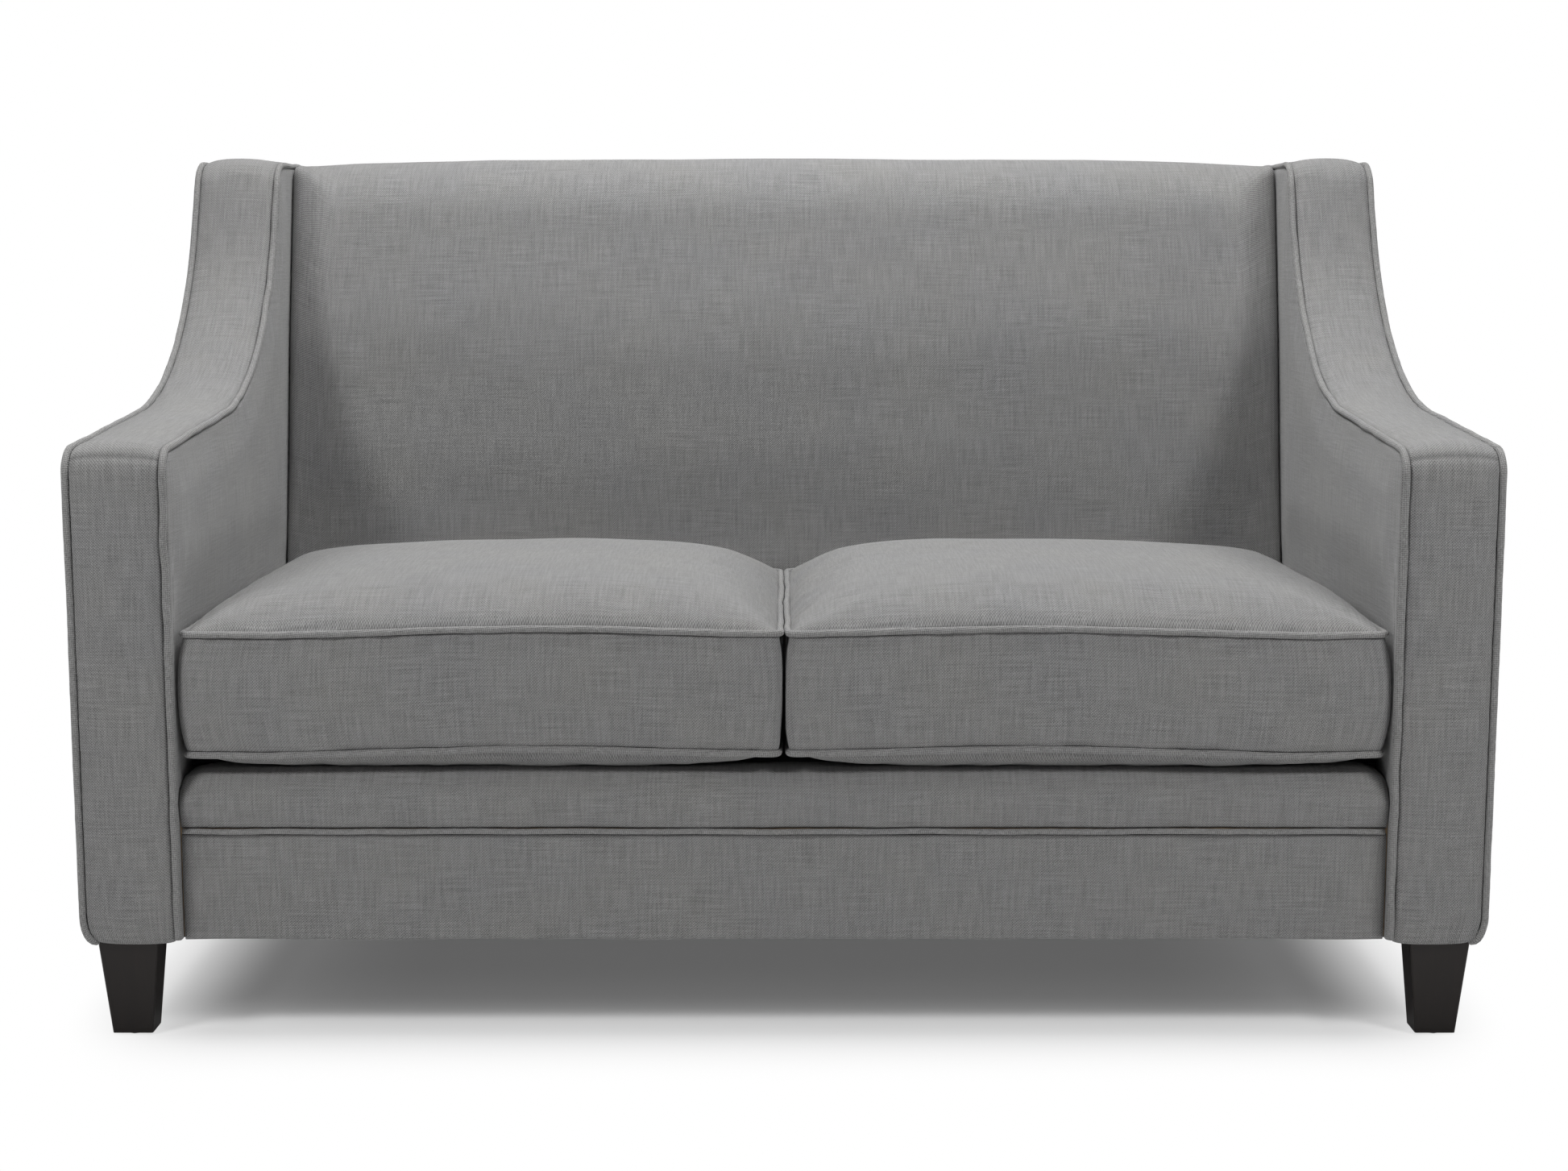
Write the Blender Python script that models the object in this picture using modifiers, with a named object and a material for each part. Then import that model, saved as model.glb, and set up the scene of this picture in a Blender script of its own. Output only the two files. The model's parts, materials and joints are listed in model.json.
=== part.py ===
"""Two-seater sofa with scooped arms, two loose box cushions and four tapered wooden legs.

Metres, +Z up. The origin is on the floor under the middle of the sofa. The front faces -Y, and left
and right are as seen from the front, so left is -X.
"""

import math

import bmesh
import bpy
from mathutils import Matrix, Vector

# Overall sizes
WIDTH = 1.400
DEPTH = 0.780
BACK_HEIGHT = 0.891
BASE_HEIGHT = 0.100
FIT_GAP = 0.0003
SOFT_GAP = 0.0006

# Cover cloth, wadding and piping
CLOTH = 0.0025
PIPING_RADIUS = 0.0035
WADDING = 0.008

# Arms, measured from the front seam plane
ARM_THICKNESS = 0.101
ARM_FRONT_HEIGHT = 0.588
ARM_CORNER_RADIUS = 0.020
ARM_TOP_SLOPE = math.radians(3.9)
SCOOP_SETBACK = 0.3025
SCOOP_REACH_SHARE = 0.7176
WING_SLOPE = math.radians(67.0)
WING_DROP = 0.0105
WING_REACH_SHARE = 0.0875
REAR_CORNER_RADIUS = 0.018
REAR_SEAM_DROP = 0.0245
REAR_LEAN = math.radians(5.0)
BAND_CROWN = 0.008
ARM_FOAM = 0.0225
ARM_BOARD = 0.018
INSIDE_ARM_LOW = 0.252

# Inside back
BACK_SETBACK = 0.2313
BACK_SEAT_HEIGHT = 0.405
BACK_RECLINE = math.radians(10.5)
BACK_TOP_RADIUS = 0.045
BACK_KNEE_RADIUS = 0.150
BACK_CROWN = 0.014
BACK_CROWN_RISE = 0.120
BACK_TOP_CROWN = 0.0075
BACK_SIDE_ROLL = 0.008
BACK_SIDE_ROLL_SHARE = 0.07
BACK_FOAM = 0.028
BACK_TUCK = 0.022
OUTSIDE_BACK_CROWN = 0.003

# Wooden frame
RAIL_THICKNESS = 0.025
RAIL_TOP = 0.243
POST_DEPTH = 0.045
FRONT_POST_TOP = 0.560
BACK_POST_DROP = 0.016
BACK_RAIL_SETBACK = 0.140
CENTRE_RAIL_HEIGHT = 0.095
BACK_BAR_HEIGHT = 0.045
BACK_BAR_THICKNESS = 0.025
TOP_BAR_DROP = 0.009
TUCK_BAR_LOW = 0.290
DUST_COVER = 0.0015
DUST_COVER_MARGIN = 0.003

# Front border below the cushions
DECK_HEIGHT = 0.270
BORDER_SEAM_HEIGHT = 0.2078
BORDER_RECESS = 0.012
BORDER_BULGE = 0.006
LOWER_BORDER_CROWN = 0.0015
BORDER_ROLL_DEPTH = 0.058
BORDER_ROLL_RADIUS = 0.020
DECK_REAR_MARGIN = 0.040

# Seat springs, their clips and the back webbing
SPRING_COUNT = 8
SPRING_WIRE = 0.0019
SPRING_HALF_WIDTH = 0.024
SPRING_RISE = 0.0068
SPRING_BENDS = 14
SPRING_EDGE_MARGIN = 0.070
SPRING_END_SHARE = 0.5
SPRING_FLAT_SHARE = 0.3
TIE_WIRE = 0.0012
TIE_WIRE_OVERHANG = 0.010
TIE_WIRE_SHARES = (0.36, 0.64)
CLIP_SHEET = 0.0010
CLIP_END_MARGIN = 0.012
CLIP_LENGTH = 0.018
STRAP_COUNT = 7
CROSS_STRAP_COUNT = 2
STRAP_WIDTH = 0.050
STRAP_THICKNESS = 0.002

# Loose cushions
CUSHION_GAP = 0.003
CUSHION_SIDE_CLEARANCE = 0.002
CUSHION_FRONT_DEPTH = 0.012
CUSHION_REAR_CLEARANCE = 0.0052
CUSHION_LOW_SEAM = 0.2895
CUSHION_HIGH_SEAM = 0.4096
CUSHION_CROWN = 0.0455
CUSHION_UNDERSIDE_CLEARANCE = 0.0005
CUSHION_CORNER_RADIUS = 0.024
CUSHION_PIPING_INSET = 0.0060
CUSHION_SEAM_STEP = 0.0007
CUSHION_SHOULDER = 0.014
CUSHION_SHOULDER_INSET = 0.0035
CUSHION_COVER = 0.002
CUSHION_TOP_SHARES = ((0.90, 0.55), (0.72, 0.87), (0.45, 1.0))
CUSHION_BASE_SHARES = ((0.93, 0.6), (0.80, 1.0))
CORNER_STEPS = 3
SIDE_STEPS = 3
ZIP_HEIGHT = 0.012
ZIP_STRIP = 0.0014
ZIP_SLIDER_LENGTH = 0.012
ZIP_SLIDER_HEIGHT = 0.009
ZIP_SLIDER_THICKNESS = 0.0026
ZIP_PULL_LENGTH = 0.024
ZIP_PULL_WIDTH = 0.006
ZIP_PULL_THICKNESS = 0.0014
ZIP_END_MARGIN = 0.006

# Legs and their hardware
LEG_CENTRE_INSET = 0.0460
FRONT_LEG_TOP = (0.060, 0.040)
FRONT_LEG_FOOT = (0.040, 0.033)
FRONT_LEG_DEPTH = 0.025
FRONT_LEG_RAKE = 0.0028
BACK_LEG_TOP = (0.055, 0.044)
BACK_LEG_FOOT = (0.036, 0.034)
BACK_LEG_SETBACK = 0.112
BACK_LEG_RAKE = 0.022
LEG_CHAMFER = 0.0012
GLIDE_RADIUS = 0.011
GLIDE_THICKNESS = 0.002
BOLT_RADIUS = 0.004
BOLT_CLEARANCE = 0.0003
BOLT_IN_LEG = 0.045
BOLT_IN_POST = 0.040
ROUND_STEPS = 10

# Places worked out from the sizes above
WING_TOP_HEIGHT = BACK_HEIGHT - WING_DROP
SCOOP_DEPTH = DEPTH - SCOOP_SETBACK
REAR_SEAM_HEIGHT = WING_TOP_HEIGHT - REAR_SEAM_DROP
BACK_POST_TOP = REAR_SEAM_HEIGHT - BACK_POST_DROP
BACK_SEAT_DEPTH = DEPTH - BACK_SETBACK
BACK_RAIL_DEPTH = DEPTH - BACK_RAIL_SETBACK
BACK_LEG_DEPTH = DEPTH - BACK_LEG_SETBACK
DECK_REAR_DEPTH = BACK_RAIL_DEPTH - DECK_REAR_MARGIN
CUSHION_REAR_DEPTH = BACK_SEAT_DEPTH - CUSHION_REAR_CLEARANCE
HALF_WIDTH = WIDTH / 2
FRONT_SEAM_Y = BAND_CROWN - DEPTH / 2
PIPING_CLEARANCE = PIPING_RADIUS + FIT_GAP
OUTER_PIPING_X = HALF_WIDTH - PIPING_RADIUS
INSIDE_ARM_X = HALF_WIDTH - ARM_THICKNESS
INNER_PIPING_X = INSIDE_ARM_X + PIPING_RADIUS
ARM_FOAM_X = INSIDE_ARM_X + CLOTH + FIT_GAP
ARM_BOARD_X = ARM_FOAM_X + ARM_FOAM + FIT_GAP
POST_INNER_X = ARM_BOARD_X + ARM_BOARD + FIT_GAP
POST_OUTER_X = OUTER_PIPING_X - CLOTH - FIT_GAP
RAIL_END_X = ARM_BOARD_X - FIT_GAP
SEAT_SIDE_X = INSIDE_ARM_X - FIT_GAP
BAND_LOW_X = INNER_PIPING_X + PIPING_CLEARANCE
BAND_HIGH_X = OUTER_PIPING_X - PIPING_CLEARANCE
FRAME_LOW = BASE_HEIGHT + DUST_COVER + FIT_GAP
FRAME_INSET = CLOTH + WADDING + 2 * FIT_GAP
REAR_SEAM_DEPTH = DEPTH - BAND_CROWN - PIPING_RADIUS
RAIL_FRONT_DEPTH = BORDER_RECESS + CLOTH + FIT_GAP
LEG_X = HALF_WIDTH - LEG_CENTRE_INSET
LEG_TOP = BASE_HEIGHT - FIT_GAP
CLIP_BASE = RAIL_TOP + FIT_GAP
WIRE_LOW = CLIP_BASE + CLIP_SHEET + FIT_GAP + SPRING_WIRE
WIRE_HIGH = WIRE_LOW + SPRING_RISE + SPRING_WIRE + FIT_GAP
CLIP_HIGH = WIRE_LOW + SPRING_WIRE + FIT_GAP + CLIP_SHEET
CLIP_RAIL_END = RAIL_END_X - CLIP_END_MARGIN
TIE_WIRE_REACH = RAIL_END_X - SPRING_EDGE_MARGIN + SPRING_HALF_WIDTH + TIE_WIRE_OVERHANG
DECK_PAD_TOP = DECK_HEIGHT - CLOTH - FIT_GAP
CUSHION_HALF_X = (INSIDE_ARM_X - CUSHION_SIDE_CLEARANCE - CUSHION_GAP / 2) / 2
CUSHION_X = CUSHION_GAP / 2 + CUSHION_HALF_X
CUSHION_HALF_Y = (CUSHION_REAR_DEPTH - CUSHION_FRONT_DEPTH) / 2
CUSHION_DEPTH = (CUSHION_REAR_DEPTH + CUSHION_FRONT_DEPTH) / 2
CUSHION_UNDERSIDE = CUSHION_LOW_SEAM - DECK_HEIGHT - CUSHION_UNDERSIDE_CLEARANCE
CUSHION_SEAM_INSET = CUSHION_PIPING_INSET + PIPING_CLEARANCE + CUSHION_SEAM_STEP
ZIP_CENTRE = (CUSHION_LOW_SEAM + CUSHION_HIGH_SEAM) / 2

SIDES = {"left": -1, "right": 1}

# Finish: colour, roughness, metallic
FINISHES = {
    "grey_cloth": ((0.21, 0.21, 0.205), 0.9, 0.0),
    "foam": ((0.80, 0.76, 0.62), 0.95, 0.0),
    "wadding": ((0.86, 0.86, 0.84), 0.95, 0.0),
    "hardwood": ((0.50, 0.33, 0.18), 0.65, 0.0),
    "plywood": ((0.60, 0.44, 0.26), 0.7, 0.0),
    "dark_wood": ((0.018, 0.011, 0.009), 0.35, 0.0),
    "black_cloth": ((0.02, 0.02, 0.022), 0.95, 0.0),
    "spring_steel": ((0.35, 0.35, 0.36), 0.4, 0.9),
    "zinc": ((0.55, 0.55, 0.52), 0.35, 0.9),
    "webbing": ((0.45, 0.38, 0.27), 0.9, 0.0),
    "nylon": ((0.05, 0.05, 0.055), 0.5, 0.0),
}


def clear_scene():
    for old in list(bpy.data.objects):
        bpy.data.objects.remove(old)


def collection(name):
    made = bpy.data.collections.new(name)
    bpy.context.scene.collection.children.link(made)
    return made


def material(name, kind):
    colour, roughness, metallic = FINISHES[kind]
    made = bpy.data.materials.new(name)
    made.use_nodes = True
    shader = made.node_tree.nodes["Principled BSDF"]
    shader.inputs["Base Color"].default_value = (*colour, 1.0)
    shader.inputs["Roughness"].default_value = roughness
    shader.inputs["Metallic"].default_value = metallic
    return made


def place(name, data, kind, where=(0, 0, 0), parent=None):
    """A named object for a mesh or curve, in the sofa's collection."""
    if not data.materials:
        data.materials.append(material(name, kind))
    made = bpy.data.objects.new(name, data)
    made.location = where
    made.parent = parent
    SOFA.objects.link(made)
    return made


def y_at(depth):
    """The Y of a place measured back from the front seam plane."""
    return FRONT_SEAM_Y + depth


def rear_depth(height):
    """The depth of the leaning rear plane at a height."""
    return REAR_SEAM_DEPTH - (REAR_SEAM_HEIGHT - height) * math.tan(REAR_LEAN)


def back_depth(height):
    """The depth of the uncrowned front face of the inside back: upright to the seat, then leaning."""
    return BACK_SEAT_DEPTH + max(0.0, height - BACK_SEAT_HEIGHT) * math.tan(BACK_RECLINE)


def rounded(corners, steps=5):
    """An open path of (depth, height) points through corners, each given as (depth, height, radius)."""
    path = [Vector(corners[0][:2])]
    for before, corner, after in zip(corners, corners[1:], corners[2:]):
        here = Vector(corner[:2])
        into = (here - Vector(before[:2])).normalized()
        out = (Vector(after[:2]) - here).normalized()
        turn = into.angle(out)
        reach = corner[2] * math.tan(turn / 2)
        start = here - into * reach
        side = 1 if into.x * out.y - into.y * out.x > 0 else -1
        normal = Vector((-into.y, into.x)) * side
        centre = start + normal * corner[2]
        for step in range(steps + 1):
            spun = Matrix.Rotation(side * turn * step / steps, 2) @ (start - centre)
            path.append(centre + spun)
    path.append(Vector(corners[-1][:2]))
    return path


def offset(path, distance):
    """The path moved to its right-hand side, which is inwards for an outline run up the front."""
    runs = [(after - before).normalized() for before, after in zip(path, path[1:])]
    moved = []
    for point, into, out in zip(path, runs[:1] + runs, runs + runs[-1:]):
        normal = Vector((into.y + out.y, -into.x - out.x)).normalized()
        share = normal.dot(Vector((into.y, -into.x)))
        moved.append(point + normal * distance / share)
    return moved


def arm_seam():
    """The arm's seam line from the front foot, over the scoop and the wing, to the rear seam."""
    run = SCOOP_DEPTH
    scoop_height = ARM_FRONT_HEIGHT + run * math.tan(ARM_TOP_SLOPE)
    rise = WING_TOP_HEIGHT - scoop_height
    wing_depth = run + rise / math.tan(WING_SLOPE)
    slope = rise / math.sin(WING_SLOPE)
    scoop_radius = slope * SCOOP_REACH_SHARE / math.tan((WING_SLOPE - ARM_TOP_SLOPE) / 2)
    wing_radius = slope * WING_REACH_SHARE / math.tan(WING_SLOPE / 2)
    return rounded(
        [
            (0, BASE_HEIGHT),
            (0, ARM_FRONT_HEIGHT, ARM_CORNER_RADIUS),
            (run, scoop_height, scoop_radius),
            (wing_depth, WING_TOP_HEIGHT, wing_radius),
            (rear_depth(WING_TOP_HEIGHT), WING_TOP_HEIGHT, REAR_CORNER_RADIUS),
            (REAR_SEAM_DEPTH, REAR_SEAM_HEIGHT),
        ]
    )


def back_section():
    """The inside back's cover line from its foot on the deck, over the top, to the rear seam."""
    foot = DECK_HEIGHT + FIT_GAP
    top = BACK_HEIGHT - BACK_TOP_CROWN
    return rounded(
        [
            (BACK_SEAT_DEPTH, foot),
            (BACK_SEAT_DEPTH, BACK_SEAT_HEIGHT, BACK_KNEE_RADIUS),
            (back_depth(top), top, BACK_TOP_RADIUS),
            (rear_depth(top), top, REAR_CORNER_RADIUS),
            (REAR_SEAM_DEPTH, REAR_SEAM_HEIGHT),
        ]
    )


def box(name, low, high, kind, lean=0.0, where=(0, 0, 0), parent=None):
    """A board between two corners. With a lean it shears back as it rises."""
    low, high = Vector(low), Vector(high)
    made = bmesh.new()
    bmesh.ops.create_cube(made, size=1)
    for vert in made.verts:
        share = vert.co + Vector((0.5, 0.5, 0.5))
        vert.co = low + Vector(a * b for a, b in zip(high - low, share))
        vert.co.y += (vert.co.z - low.z) * math.tan(lean)
    mesh = bpy.data.meshes.new(name)
    made.to_mesh(mesh)
    made.free()
    return place(name, mesh, kind, where, parent)


def slab(name, outline, x_low, x_high, kind):
    """A flat (depth, height) outline as a board standing across X between two places."""
    curve = bpy.data.curves.new(name, "CURVE")
    curve.dimensions = "2D"
    curve.fill_mode = "BOTH"
    curve.extrude = abs(x_high - x_low) / 2
    line = curve.splines.new("POLY")
    line.points.add(len(outline) - 1)
    line.use_cyclic_u = True
    for point, (depth, height) in zip(line.points, outline):
        point.co = (y_at(depth), height, 0, 1)
    made = place(name, curve, kind, ((x_low + x_high) / 2, 0, 0))
    made.rotation_euler = (math.pi / 2, 0, math.pi / 2)
    return made


def tube(name, points, radius, kind, closed=False, parent=None, where=(0, 0, 0), sides=1):
    """A round cord or wire through points in space."""
    curve = bpy.data.curves.new(name, "CURVE")
    curve.dimensions = "3D"
    curve.bevel_depth = radius
    curve.bevel_resolution = sides
    curve.use_fill_caps = not closed
    line = curve.splines.new("POLY")
    line.points.add(len(points) - 1)
    line.use_cyclic_u = closed
    for knot, point in zip(line.points, points):
        knot.co = (*point, 1)
    return place(name, curve, kind, where, parent)


def sheet(name, columns, rows, at, thickness, outward, kind):
    """A grid whose points at(a, b) give, with a and b from 0 to 1, made a sheet of cloth or board."""
    made = bmesh.new()
    bmesh.ops.create_grid(made, x_segments=columns, y_segments=rows, size=1)
    for vert in made.verts:
        vert.co = at((vert.co.x + 1) / 2, (vert.co.y + 1) / 2)
    made.normal_update()
    if sum(face.normal.dot(Vector(outward)) * face.calc_area() for face in made.faces) < 0:
        bmesh.ops.reverse_faces(made, faces=made.faces)
    mesh = bpy.data.meshes.new(name)
    made.to_mesh(mesh)
    made.free()
    mesh.shade_smooth()
    shown = place(name, mesh, kind)
    skin = shown.modifiers.new("thickness", "SOLIDIFY")
    skin.thickness = thickness
    skin.offset = -1
    skin.use_even_offset = True
    return shown


def cylinder(name, radius, low, high, centre, kind=None, parent=None):
    made = bmesh.new()
    bmesh.ops.create_cone(
        made, cap_ends=True, segments=ROUND_STEPS, radius1=radius, radius2=radius, depth=high - low
    )
    bmesh.ops.translate(made, verts=made.verts, vec=(0, 0, (low + high) / 2))
    mesh = bpy.data.meshes.new(name)
    made.to_mesh(mesh)
    made.free()
    if kind:
        return place(name, mesh, kind, (*centre, 0), parent)
    return cutter(name, mesh, (*centre, 0))


def cutter(name, mesh, where=(0, 0, 0)):
    made = bpy.data.objects.new(name, mesh)
    made.location = where
    made.hide_render = True
    made.display_type = "WIRE"
    CUTTERS.objects.link(made)
    return made


def box_cutter(name, low, high):
    made = box(name, low, high, "nylon")
    SOFA.objects.unlink(made)
    made.data.materials.clear()
    return cutter(name + "_shape", made.data)


def cut(shown, tool):
    step = shown.modifiers.new(tool.name, "BOOLEAN")
    step.operation = "DIFFERENCE"
    step.object = tool


def merged(name, pieces):
    """The pieces' evaluated shapes as one mesh, with the pieces themselves taken away."""
    depsgraph = bpy.context.evaluated_depsgraph_get()
    made = bmesh.new()
    for piece in pieces:
        mesh = bpy.data.meshes.new_from_object(piece.evaluated_get(depsgraph))
        mesh.transform(piece.matrix_world)
        made.from_mesh(mesh)
        bpy.data.meshes.remove(mesh)
        bpy.data.objects.remove(piece)
    bmesh.ops.remove_doubles(made, verts=made.verts, dist=FIT_GAP / 10)
    mesh = bpy.data.meshes.new(name)
    made.to_mesh(mesh)
    made.free()
    return mesh


def fade(share, edge=0.5):
    """0 at both ends of a width and 1 in its middle, rising over the given share of it."""
    return math.sin(min(share, 1 - share, edge) / edge * math.pi / 2)


def arm_band(name, side, inset, thickness, columns, kind):
    """The strip that follows the arm's seam line round the front, the scoop and the wing."""
    path = offset(arm_seam(), inset)
    steps = len(path) - 1
    normals = [(a - b).normalized() for a, b in zip(path, offset(path, CLOTH))]

    def at(a, b):
        index = round(b * steps)
        crown = BAND_CROWN * (1 - (2 * a - 1) ** 2) * min(1, (steps - index) / ROUND_STEPS)
        point = path[index] + normals[index] * crown
        x = BAND_LOW_X + (BAND_HIGH_X - BAND_LOW_X) * a
        return Vector((side * x, y_at(point.x), point.y))

    return sheet(name, columns, steps, at, thickness, (0, -1, 1), kind)


def seam_to(path, limit):
    """The seam path up to the place where limit(height) gives its depth."""
    kept = [p for p in path if p.x < limit(p.y)]
    last, after = kept[-1], path[len(kept)]
    share = (limit(last.y) - last.x) / (after.x - last.x)
    return kept + [last.lerp(after, share)]


def inside_arm_outline(inset):
    """The arm's inner face from the border, over the scoop, to its tuck behind the inside back."""

    def limit(height):
        return back_depth(height) + BACK_TUCK

    line = seam_to(offset(arm_seam(), inset), limit)
    knee = (limit(BACK_SEAT_HEIGHT), BACK_SEAT_HEIGHT)
    return line, [knee, (limit(INSIDE_ARM_LOW), INSIDE_ARM_LOW)]


def full_outline(inset, foot, rear_inset):
    """The whole arm side from the front foot, over the top, and down the leaning rear."""
    line = offset(arm_seam(), inset)
    rear = (rear_depth(foot) - rear_inset, foot)
    return [Vector((inset, foot))] + line[1:] + [rear]


def build_arm(word, side):
    path = arm_seam()
    arm_band(f"{word}_arm_band_cover", side, 0, CLOTH, 4, "grey_cloth")
    arm_band(f"{word}_arm_band_padding", side, CLOTH + FIT_GAP, WADDING, 4, "wadding")
    for label, x in (("inner", INNER_PIPING_X), ("outer", OUTER_PIPING_X)):
        points = [(side * x, y_at(p.x), p.y) for p in path]
        tube(f"{word}_arm_{label}_piping", points, PIPING_RADIUS, "grey_cloth")

    line, low = inside_arm_outline(PIPING_CLEARANCE)
    strip_depth = RAIL_FRONT_DEPTH - FIT_GAP
    outline = line + low + [(strip_depth, INSIDE_ARM_LOW), (strip_depth, BASE_HEIGHT)]
    x_low, x_high = side * INSIDE_ARM_X, side * (INSIDE_ARM_X + CLOTH)
    slab(f"{word}_inside_arm_cover", outline, x_low, x_high, "grey_cloth")

    line, low = inside_arm_outline(FRAME_INSET)
    outline = [(FRAME_INSET, INSIDE_ARM_LOW)] + line[1:] + low
    x_low, x_high = side * ARM_FOAM_X, side * (ARM_FOAM_X + ARM_FOAM)
    slab(f"{word}_inside_arm_foam", outline, x_low, x_high, "foam")

    outline = full_outline(FRAME_INSET, FRAME_LOW, CLOTH + FIT_GAP)
    x_low, x_high = side * ARM_BOARD_X, side * (ARM_BOARD_X + ARM_BOARD)
    slab(f"{word}_arm_board", outline, x_low, x_high, "plywood")

    outline = full_outline(PIPING_CLEARANCE, BASE_HEIGHT, CLOTH + FIT_GAP)
    x_low, x_high = side * (OUTER_PIPING_X - CLOTH), side * OUTER_PIPING_X
    slab(f"{word}_outside_arm_cover", outline, x_low, x_high, "grey_cloth")

    x_ends = sorted((side * POST_INNER_X, side * POST_OUTER_X))
    front = y_at(FRAME_INSET)
    box(
        f"{word}_arm_front_post",
        (x_ends[0], front, BASE_HEIGHT),
        (x_ends[1], front + POST_DEPTH, FRONT_POST_TOP),
        "hardwood",
    )
    rear = y_at(rear_depth(BASE_HEIGHT) - CLOTH - FIT_GAP)
    box(
        f"{word}_back_post",
        (x_ends[0], rear - POST_DEPTH, BASE_HEIGHT),
        (x_ends[1], rear, BACK_POST_TOP),
        "hardwood",
        lean=REAR_LEAN,
    )


def back_sheet(name, path, inset, thickness, side_gap, kind):
    """Cloth or foam along the inside back: crowned in the middle and rolled back at the sides."""
    line = offset(path, inset)
    steps = len(line) - 1
    normals = [(a - b).normalized() for a, b in zip(line, offset(line, CLOTH))]
    half = SEAT_SIDE_X - side_gap

    def at(a, b):
        index = round(b * steps)
        point, normal = line[index], normals[index]
        across = (1 - math.cos(math.pi * a)) / 2
        top = max(0.0, normal.y)
        face = max(0.0, -normal.x)
        above = max(0.0, point.y - BACK_SEAT_HEIGHT)
        rise = min(1, above / BACK_CROWN_RISE)
        crown = (BACK_CROWN * rise * face + BACK_TOP_CROWN * top * top) * fade(across)
        roll = BACK_SIDE_ROLL * rise * face * (1 - fade(across, BACK_SIDE_ROLL_SHARE))
        moved = point + normal * (crown - roll)
        return Vector(((2 * across - 1) * half, y_at(moved.x), moved.y))

    return sheet(name, 8, steps, at, thickness, (0, -1, 1), kind)


def build_back():
    section = back_section()
    back_sheet("inside_back_cover", section, 0, CLOTH, 0, "grey_cloth")
    foam_inset = CLOTH + SOFT_GAP
    top_middle = (back_depth(BACK_HEIGHT) + REAR_SEAM_DEPTH) / 2
    over = [p for p in section if p.x < top_middle]
    over.append(Vector((top_middle, over[-1].y)))
    back_sheet("back_foam", over, foam_inset, BACK_FOAM, SOFT_GAP, "foam")

    def at(a, b):
        low, high = BASE_HEIGHT, REAR_SEAM_HEIGHT - SOFT_GAP
        height = low + (high - low) * b
        crown = OUTSIDE_BACK_CROWN * fade(a) * fade(b)
        x = (2 * a - 1) * OUTER_PIPING_X
        return Vector((x, y_at(rear_depth(height) + crown), height))

    sheet("outside_back_cover", 6, 6, at, CLOTH, (0, 1, 0), "grey_cloth")

    bar_set_back = (foam_inset + BACK_FOAM + BACK_SIDE_ROLL + SOFT_GAP) / math.cos(BACK_RECLINE)
    top_high = BACK_HEIGHT - BACK_TOP_CROWN - foam_inset - BACK_FOAM - TOP_BAR_DROP
    bars = {
        "back_tuck_bar": (BACK_SEAT_DEPTH, TUCK_BAR_LOW, 0.0),
        "back_top_bar": (back_depth(top_high - BACK_BAR_HEIGHT), top_high - BACK_BAR_HEIGHT, BACK_RECLINE),
    }
    for name, (depth, low, lean) in bars.items():
        front = y_at(depth + bar_set_back)
        box(
            name,
            (-RAIL_END_X, front, low),
            (RAIL_END_X, front + BACK_BAR_THICKNESS, low + BACK_BAR_HEIGHT),
            "hardwood",
            lean=lean,
        )

    front = BACK_SEAT_DEPTH + bar_set_back - STRAP_THICKNESS - FIT_GAP
    top_low = top_high - BACK_BAR_HEIGHT
    top_front = back_depth(top_low) + bar_set_back - (STRAP_THICKNESS + FIT_GAP) / math.cos(BACK_RECLINE)
    knee = TUCK_BAR_LOW + BACK_BAR_HEIGHT
    x_marks = strap_marks(-RAIL_END_X, RAIL_END_X, STRAP_COUNT)
    z_marks = [TUCK_BAR_LOW, knee, *strap_marks(knee, top_low, CROSS_STRAP_COUNT), top_low, top_high]
    crossed_rows = range(3, 3 + 2 * CROSS_STRAP_COUNT, 2)

    def at(a, b):
        height = z_marks[round(b * (len(z_marks) - 1))]
        x = x_marks[round(a * (len(x_marks) - 1))]
        share = min(1, max(0.0, height - knee) / (top_low - knee))
        above = max(0.0, height - top_low) * math.tan(BACK_RECLINE)
        return Vector((x, y_at(front + (top_front - front) * share + above), height))

    columns, rows = len(x_marks) - 1, len(z_marks) - 1
    webbing = sheet("back_webbing", columns, rows, at, STRAP_THICKNESS, (0, -1, 0), "webbing")
    woven = bmesh.new()
    woven.from_mesh(webbing.data)
    open_faces = []
    for face in woven.faces:
        middle = face.calc_center_median()
        column = sum(1 for mark in x_marks if mark < middle.x)
        row = sum(1 for mark in z_marks if mark < middle.z)
        if column % 2 == 0 and row not in crossed_rows:
            open_faces.append(face)
    bmesh.ops.delete(woven, geom=open_faces, context="FACES")
    woven.to_mesh(webbing.data)
    woven.free()


def strap_marks(low, high, count):
    """The edges of evenly spaced straps between two places."""
    marks = []
    for index in range(count):
        middle = low + (high - low) * (index + 1) / (count + 1)
        marks += [middle - STRAP_WIDTH / 2, middle + STRAP_WIDTH / 2]
    return marks


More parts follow.
